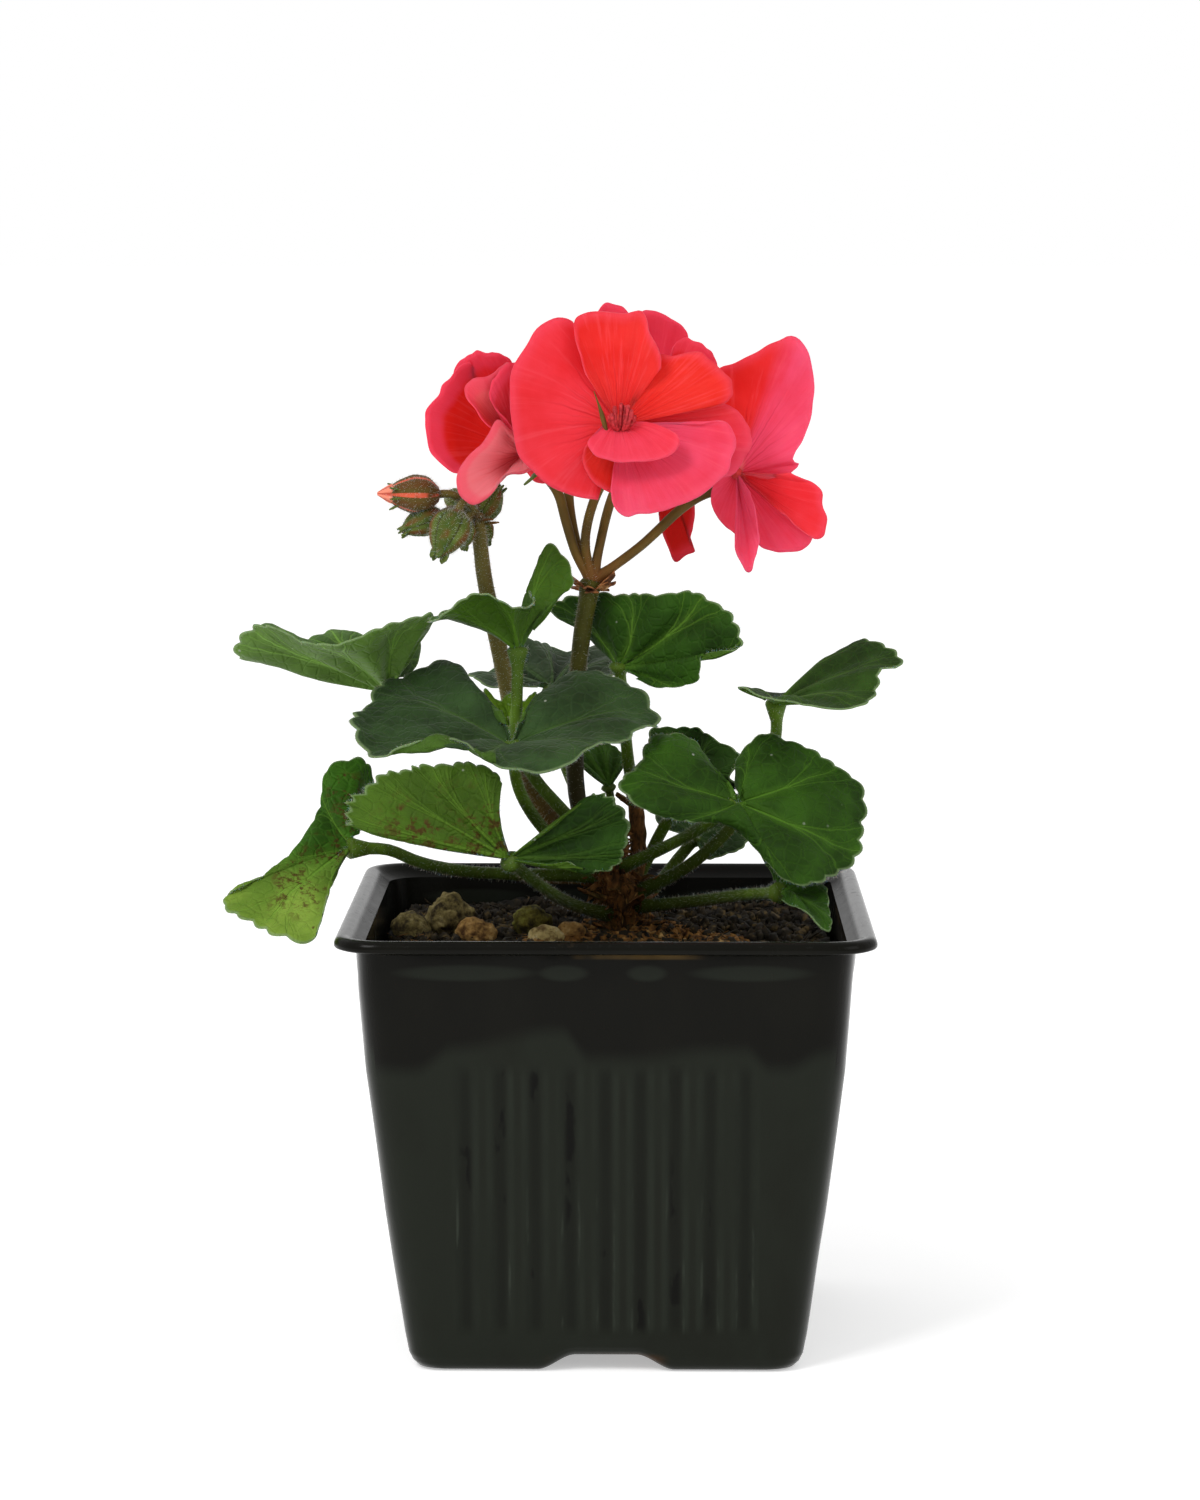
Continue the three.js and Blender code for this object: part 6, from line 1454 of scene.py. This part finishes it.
def outlined_sheet(base, seed, edge, lift, rings=20, steps=64):
    """Petal as a grid of points, from its claw out to the points of its edge."""
    u = np.linspace(0, 1, steps + 1)[None, :, None]
    r = np.linspace(0, 1, rings + 1)[:, None, None]
    claw = np.array(base, float)
    rim = smooth_line(edge, steps + 1)
    nick = along_edge(u, lambda share: (seed * 1.7, 12 * share + seed, 0.5))
    fade = np.minimum(1, np.minimum(10 * u, 10 * (1 - u)))
    grid = claw + (rim[None] - claw) * r * (1 + 0.02 * nick * fade * r * r) + np.array(lift) * 4 * r * (1 - r)
    normal, _ = sheet_way(grid)
    pleat = 0.10 * np.sin(2 * np.pi * 8 * u + 3 * nick) * r * (1 - 0.7 * r)
    flutter = rumple(grid, 0.17, (seed, 0, 0))
    return grid + normal * (pleat + 0.8 * flutter * r * r) * fade, (0, -1, 0.2)


def round_sheet(base, seed, tip, facing, spread, cup, curl, rings=20, steps=48):
    """Petal as a grid of points that fans out from its claw, with a rippled, slightly uneven edge."""
    foot = np.array(base, float) + 0.03 * (np.array(tip, float) - np.array(base, float))
    along = np.array(tip, float) - foot
    across = unit(np.cross(facing, along)) * np.linalg.norm(along)
    face = unit(np.cross(along, across))
    u = np.linspace(0, 1, steps + 1)[None, :, None]
    r = np.linspace(0, 1, rings + 1)[:, None, None]
    off = np.abs(2 * u - 1)
    turn = math.radians(spread) * (2 * u - 1)
    nick = along_edge(u, lambda share: (seed * 1.7, 9 * share + seed, 0.5))
    outline = np.sqrt(1 - off ** 5) * (1 - 0.1 * off) * (1 + 0.035 * nick)
    reach = r * np.maximum(outline, 0.14)
    ripple = 0.4 * np.sin(6 * np.pi * u) * r * r
    bend = cup * (np.sin(turn) * reach) ** 2 / math.sin(math.radians(spread))
    pleat = 0.16 * np.sin(2 * np.pi * 7 * u + 3 * nick) * r * (1 - 0.6 * r)
    grid = foot + along * np.cos(turn) * reach + across * np.sin(turn) * reach
    flutter = rumple(grid, 0.16, (seed, 0, 0))
    return grid + face * (bend + curl * reach * reach + ripple + pleat + 1.1 * flutter * r ** 2), face


PETAL_MARKS = ("warm", "pale", "dark", "rosy", "lip")


def petal(base, seed, shape):
    """Closed petal. A mark that is a pair of numbers runs from one to the other across it."""
    marks = {name: shape.get(name, 0.0) for name in PETAL_MARKS}
    form = {name: value for name, value in shape.items() if name not in PETAL_MARKS}
    grid, face = (outlined_sheet if "edge" in form else round_sheet)(base, seed, **form)
    rings, steps = grid.shape[0] - 1, grid.shape[1] - 1
    u, r = np.meshgrid(np.linspace(0, 1, steps + 1), np.linspace(0, 1, rings + 1))
    points, faces, _, size = two_sided(grid, PETAL_THICKNESS * (1.2 - 0.5 * r), face)
    uv = np.tile(unrolled(np.stack([u, r], 2)), (2, 1))
    for name, share in marks.items():
        marks[name] = np.clip(np.interp(uv[:, 0], (0.25, 0.75), np.broadcast_to(share, 2)), 0, 1)
    return part(points, faces, uv=uv, back=np.repeat((0.0, 1.0), size), **marks)


petal_silk, tone, shader = new_finish("petal silk", {
    "Specular IOR Level": 0.08, "Subsurface Weight": 0.45, "Subsurface Radius": (1.0, 0.2, 0.25),
    "Subsurface Scale": 0.002})
place = tone.place()
spread = tone.node("ShaderNodeTexCoord", None, None, 2)
u, r, _ = spread.parts()
warm, pale, dark, rosy, lip, back = (tone.mark(name) for name in (*PETAL_MARKS, "back"))
broad = tone.cloud(place, 85.0, 3.0)
fine = tone.cloud(place, 1300.0, 3.0, 0.6)
# Fine veins that run out from the claw, and pale and dark streaks along them
wander = (tone.cloud(place, 190.0, 2.0) - 0.5) * 0.06
strand = abs(((u + wander) * 9.0).fraction() - 0.5)
thread = abs(((u + wander * 1.3) * 23.0).fraction() - 0.5)
veins = (1.0 - (strand * r).ramp(0.008, 0.045)) * 0.9 + (1.0 - (thread * r).ramp(0.015, 0.07)) * 0.5
veins = veins * (1.0 - r.ramp(0.2, 0.8)) * r.ramp(0.02, 0.12)
along = tone.node("ShaderNodeVectorMath", {"operation": "ADD"}, {
    0: tone.stretch(spread, (34.0, 1.3, 1.0)), 1: tone.stretch(place, (110.0, 110.0, 110.0))})
streak = tone.cloud(along, 1.0, 3.0, 0.6)
mottle = broad.ramp(0.3, 0.7)
colour = tone.coats(
    tone.blend(mottle, (0.66, 0.020, 0.030), (0.72, 0.035, 0.060)),
    # orange-red: partly the petals' own colour, partly painted light bounced between petals, stronger near
    # the claw
    (tone.calc("MAXIMUM", warm, (1.0 - r.ramp(0.15, 0.6)) * 0.55),
     tone.blend(mottle, (0.63, 0.013, 0.008), (0.71, 0.029, 0.020))),
    (back * 0.4, (0.70, 0.10, 0.13)),
    (pale, (0.66, 0.15, 0.17)),
    (rosy, tone.blend(mottle, (0.68, 0.048, 0.10), (0.76, 0.075, 0.16))),
    (streak.ramp(0.5, 0.7) * 0.15, (0.84, 0.13, 0.17)),
    ((1.0 - streak.ramp(0.3, 0.5)) * 0.18, (0.64, 0.012, 0.014)),
    # painted shade on petals and throats that lie in shade
    (dark, (0.34, 0.008, 0.005)),
    (r.ramp(0.88, 1.0) * 0.3, (0.78, 0.09, 0.16)),
    (lip * r.ramp(0.80, 0.88), (0.72, 0.045, 0.085)),
    (veins * 0.36, (0.42, 0.006, 0.014)),
    ((1.0 - r.ramp(0.03, 0.14)) * 0.5, (0.70, 0.22, 0.18)))
feed(tone, shader, {
    "Base Color": colour,
    "Roughness": 0.6 + (fine - 0.5) * 0.2,
    "Normal": tone.bump(fine * 0.3 + streak * 0.45 - veins * 0.5, 0.35, 0.0006),
})

for number, (name, (base, petals)) in enumerate(FLORETS.items()):
    parts = [petal(base, 7.0 * number + k, shape) for k, shape in enumerate(petals)]
    x, y, z = base
    throat = egg((x, y + 1.4, z - 0.6), (x, y - 1.8, z + 0.3), 1.5, round_profile, 0, sides=16, steps=10)
    throat["uv"] = np.tile((0.5, 0.1), (len(throat["points"]), 1))
    # the throat is darkened and reddened with painted shade, deep in the floret
    throat["marks"] = {"back": 0.0, "warm": 0.5, "pale": 0.0, "dark": 0.3, "rosy": 0.0, "lip": 0.0}
    piece = put_together(name + "_fine", parts + [throat], [petal_silk])
    fix(piece, "petal", name)


# Dark red stamens stand in a tuft in the throat of the front floret, each a filament with its anther.
STAMENS = 11

stamen_red, tone, shader = new_finish("stamen red", {"Specular IOR Level": 0.35})
place = tone.place()
grain = tone.cloud(place, 1500.0, 3.0)
colour = tone.blend(grain.ramp(0.35, 0.65), (0.30, 0.010, 0.014), (0.56, 0.035, 0.045))
feed(tone, shader, {
    "Base Color": colour,
    "Roughness": 0.45 + grain * 0.2,
    "Normal": tone.bump(grain, 0.4, 0.0003),
})
stamen_parts = []
for k in range(STAMENS):
    swing, depth = math.sin(2.4 * k + 0.5), math.cos(3 * k)
    foot = np.array([2.6 + 0.9 * swing, -6.6 - 0.5 * depth, 183.6])
    height = 187.9 - 1.6 * swing * swing + 0.5 * math.cos(5 * k)
    head = np.array([2.9 + 2.3 * swing, -8.6 - 0.6 * depth, height])
    bow = (foot + head) / 2 + (0.35 * swing, -0.5, 0)
    anther = [head + (0, 0.2, -0.5), head + (0.25 * swing, -0.4, 0.6)]
    stamen_parts.append(stem([foot, bow, head], 0.42, 0.3, sides=7, steps=8))
    stamen_parts.append(stem(anther, 0.46, 0.38, sides=7, steps=5))
stamens = put_together("stamens_fine", stamen_parts, [stamen_red])
fix(stamens, "stamens", "floret_front_stamens")


# Fine white down stands on the leaf edges, petioles, stalks and buds. Each hair is a slim soft cone
# that is rooted in the skin.
down, tone, shader = new_finish("white down", {
    "Roughness": 0.5, "Specular IOR Level": 0.2, "Subsurface Weight": 0.8, "Subsurface Scale": 0.002})
place = tone.place()
colour = tone.blend(tone.cloud(place, 300.0, 1.0).ramp(0.3, 0.7), (0.42, 0.48, 0.34), (0.75, 0.78, 0.68))
feed(tone, shader, {"Base Color": colour})


def joined(patches):
    points, faces, start = [], [], 0
    for patch in patches:
        points.append(patch["points"])
        faces += [tuple(start + corner for corner in face) for face in patch["faces"]]
        start += len(patch["points"])
    return open_patch(np.vstack(points), faces)


cone = np.array([(0, 0, 1), (0.03, 0, -0.05), (-0.015, 0.026, -0.05), (-0.015, -0.026, -0.05)]) * 1000
hair = hidden_shape("hair", part(cone, [(0, 1, 2), (0, 2, 3), (0, 3, 1), (1, 3, 2)]))
upright = (0.45, 0.45, math.pi)
scatter("leaf_edge_down", joined(leaf_edges), hair, down, 1500, 0.0004, 0.0009, upright, 31, "green_leaf")
scatter("petiole_down", joined(petiole_patches), hair, down, 230, 0.0004, 0.0009, upright, 32, "green_leaf")
# The stalk's down stands on the stem, on the front floret's pedicel and on the foot of its sepals
stalk_patch = joined([open_patch(body["points"], body["faces"]) for body in stalk_parts[:6]])
scatter("stalk_down", stalk_patch, hair, down, 200, 0.0004, 0.0008, upright, 33, "flower_stalk")
bud_patch = joined([open_patch(body["points"], body["faces"]) for body in shoot_parts])
scatter("bud_down", bud_patch, hair, down, 330, 0.0005, 0.0011, upright, 34, "bud_shoot")


# A plain pale floor that runs far back, and soft studio light: a bright white room with one large
# lamp high on the left in front and a weaker one on the right.
floor_finish, tone, shader = new_finish("pale floor", {
    "Roughness": 0.8, "Specular IOR Level": 0.0, "Emission Color": (1.0, 1.0, 1.0, 1.0),
    "Emission Strength": 0.4})
paper = tone.cloud(tone.place(), 40.0, 2.0)
feed(tone, shader, {"Base Color": tone.blend(paper, (0.88, 0.88, 0.88), (0.92, 0.92, 0.92))})
floor_mesh = bpy.data.meshes.new("floor")
floor_mesh.from_pydata([(-40, -40, 0), (40, -40, 0), (40, 40, 0), (-40, 40, 0)], [], [(0, 1, 2, 3)])
floor_mesh.materials.append(floor_finish)
floor = set_down("floor", floor_mesh)

world = bpy.data.worlds.new("white room")
world.use_nodes = True
tone = Tone(world.node_tree)
background = world.node_tree.nodes["Background"]
seen = tone.node("ShaderNodeLightPath")
feed(tone, background, {"Color": tone.blend(seen, (0.70, 0.70, 0.70), (1.0, 1.0, 1.0))})
background.inputs["Strength"].default_value = 1.0
bpy.context.scene.world = world

aim = np.array((0, 0, 0.12))
for name, spot, width, power in (
        ("key lamp", (-0.9, -1.1, 1.5), 0.7, 18.5),
        ("fill lamp", (1.2, -0.8, 0.9), 0.8, 4.0)):
    lamp = bpy.data.lights.new(name, "AREA")
    lamp.shape = "SQUARE"
    lamp.size = width
    lamp.energy = power
    holder = set_down(name, lamp)
    holder.location = spot
    way = aim - spot
    tilt = math.acos(-way[2] / np.linalg.norm(way))
    holder.rotation_euler = (tilt, 0, math.atan2(way[1], way[0]) - math.pi / 2)

# The camera stands 84 cm in front of the pot and 22 cm up, and looks down a little
LOOK_DOWN = 0.1209
LOOK_LEFT = 0.0124
lens = bpy.data.cameras.new("camera")
lens.lens = 100
lens.sensor_width = 36
lens.clip_end = 200
camera = set_down("camera", lens)
camera.location = (0.00878, -0.8375, 0.2205)
camera.rotation_euler = (math.pi / 2 - LOOK_DOWN, 0, LOOK_LEFT)
bpy.context.scene.camera = camera
bpy.context.scene.view_settings.view_transform = "Standard"
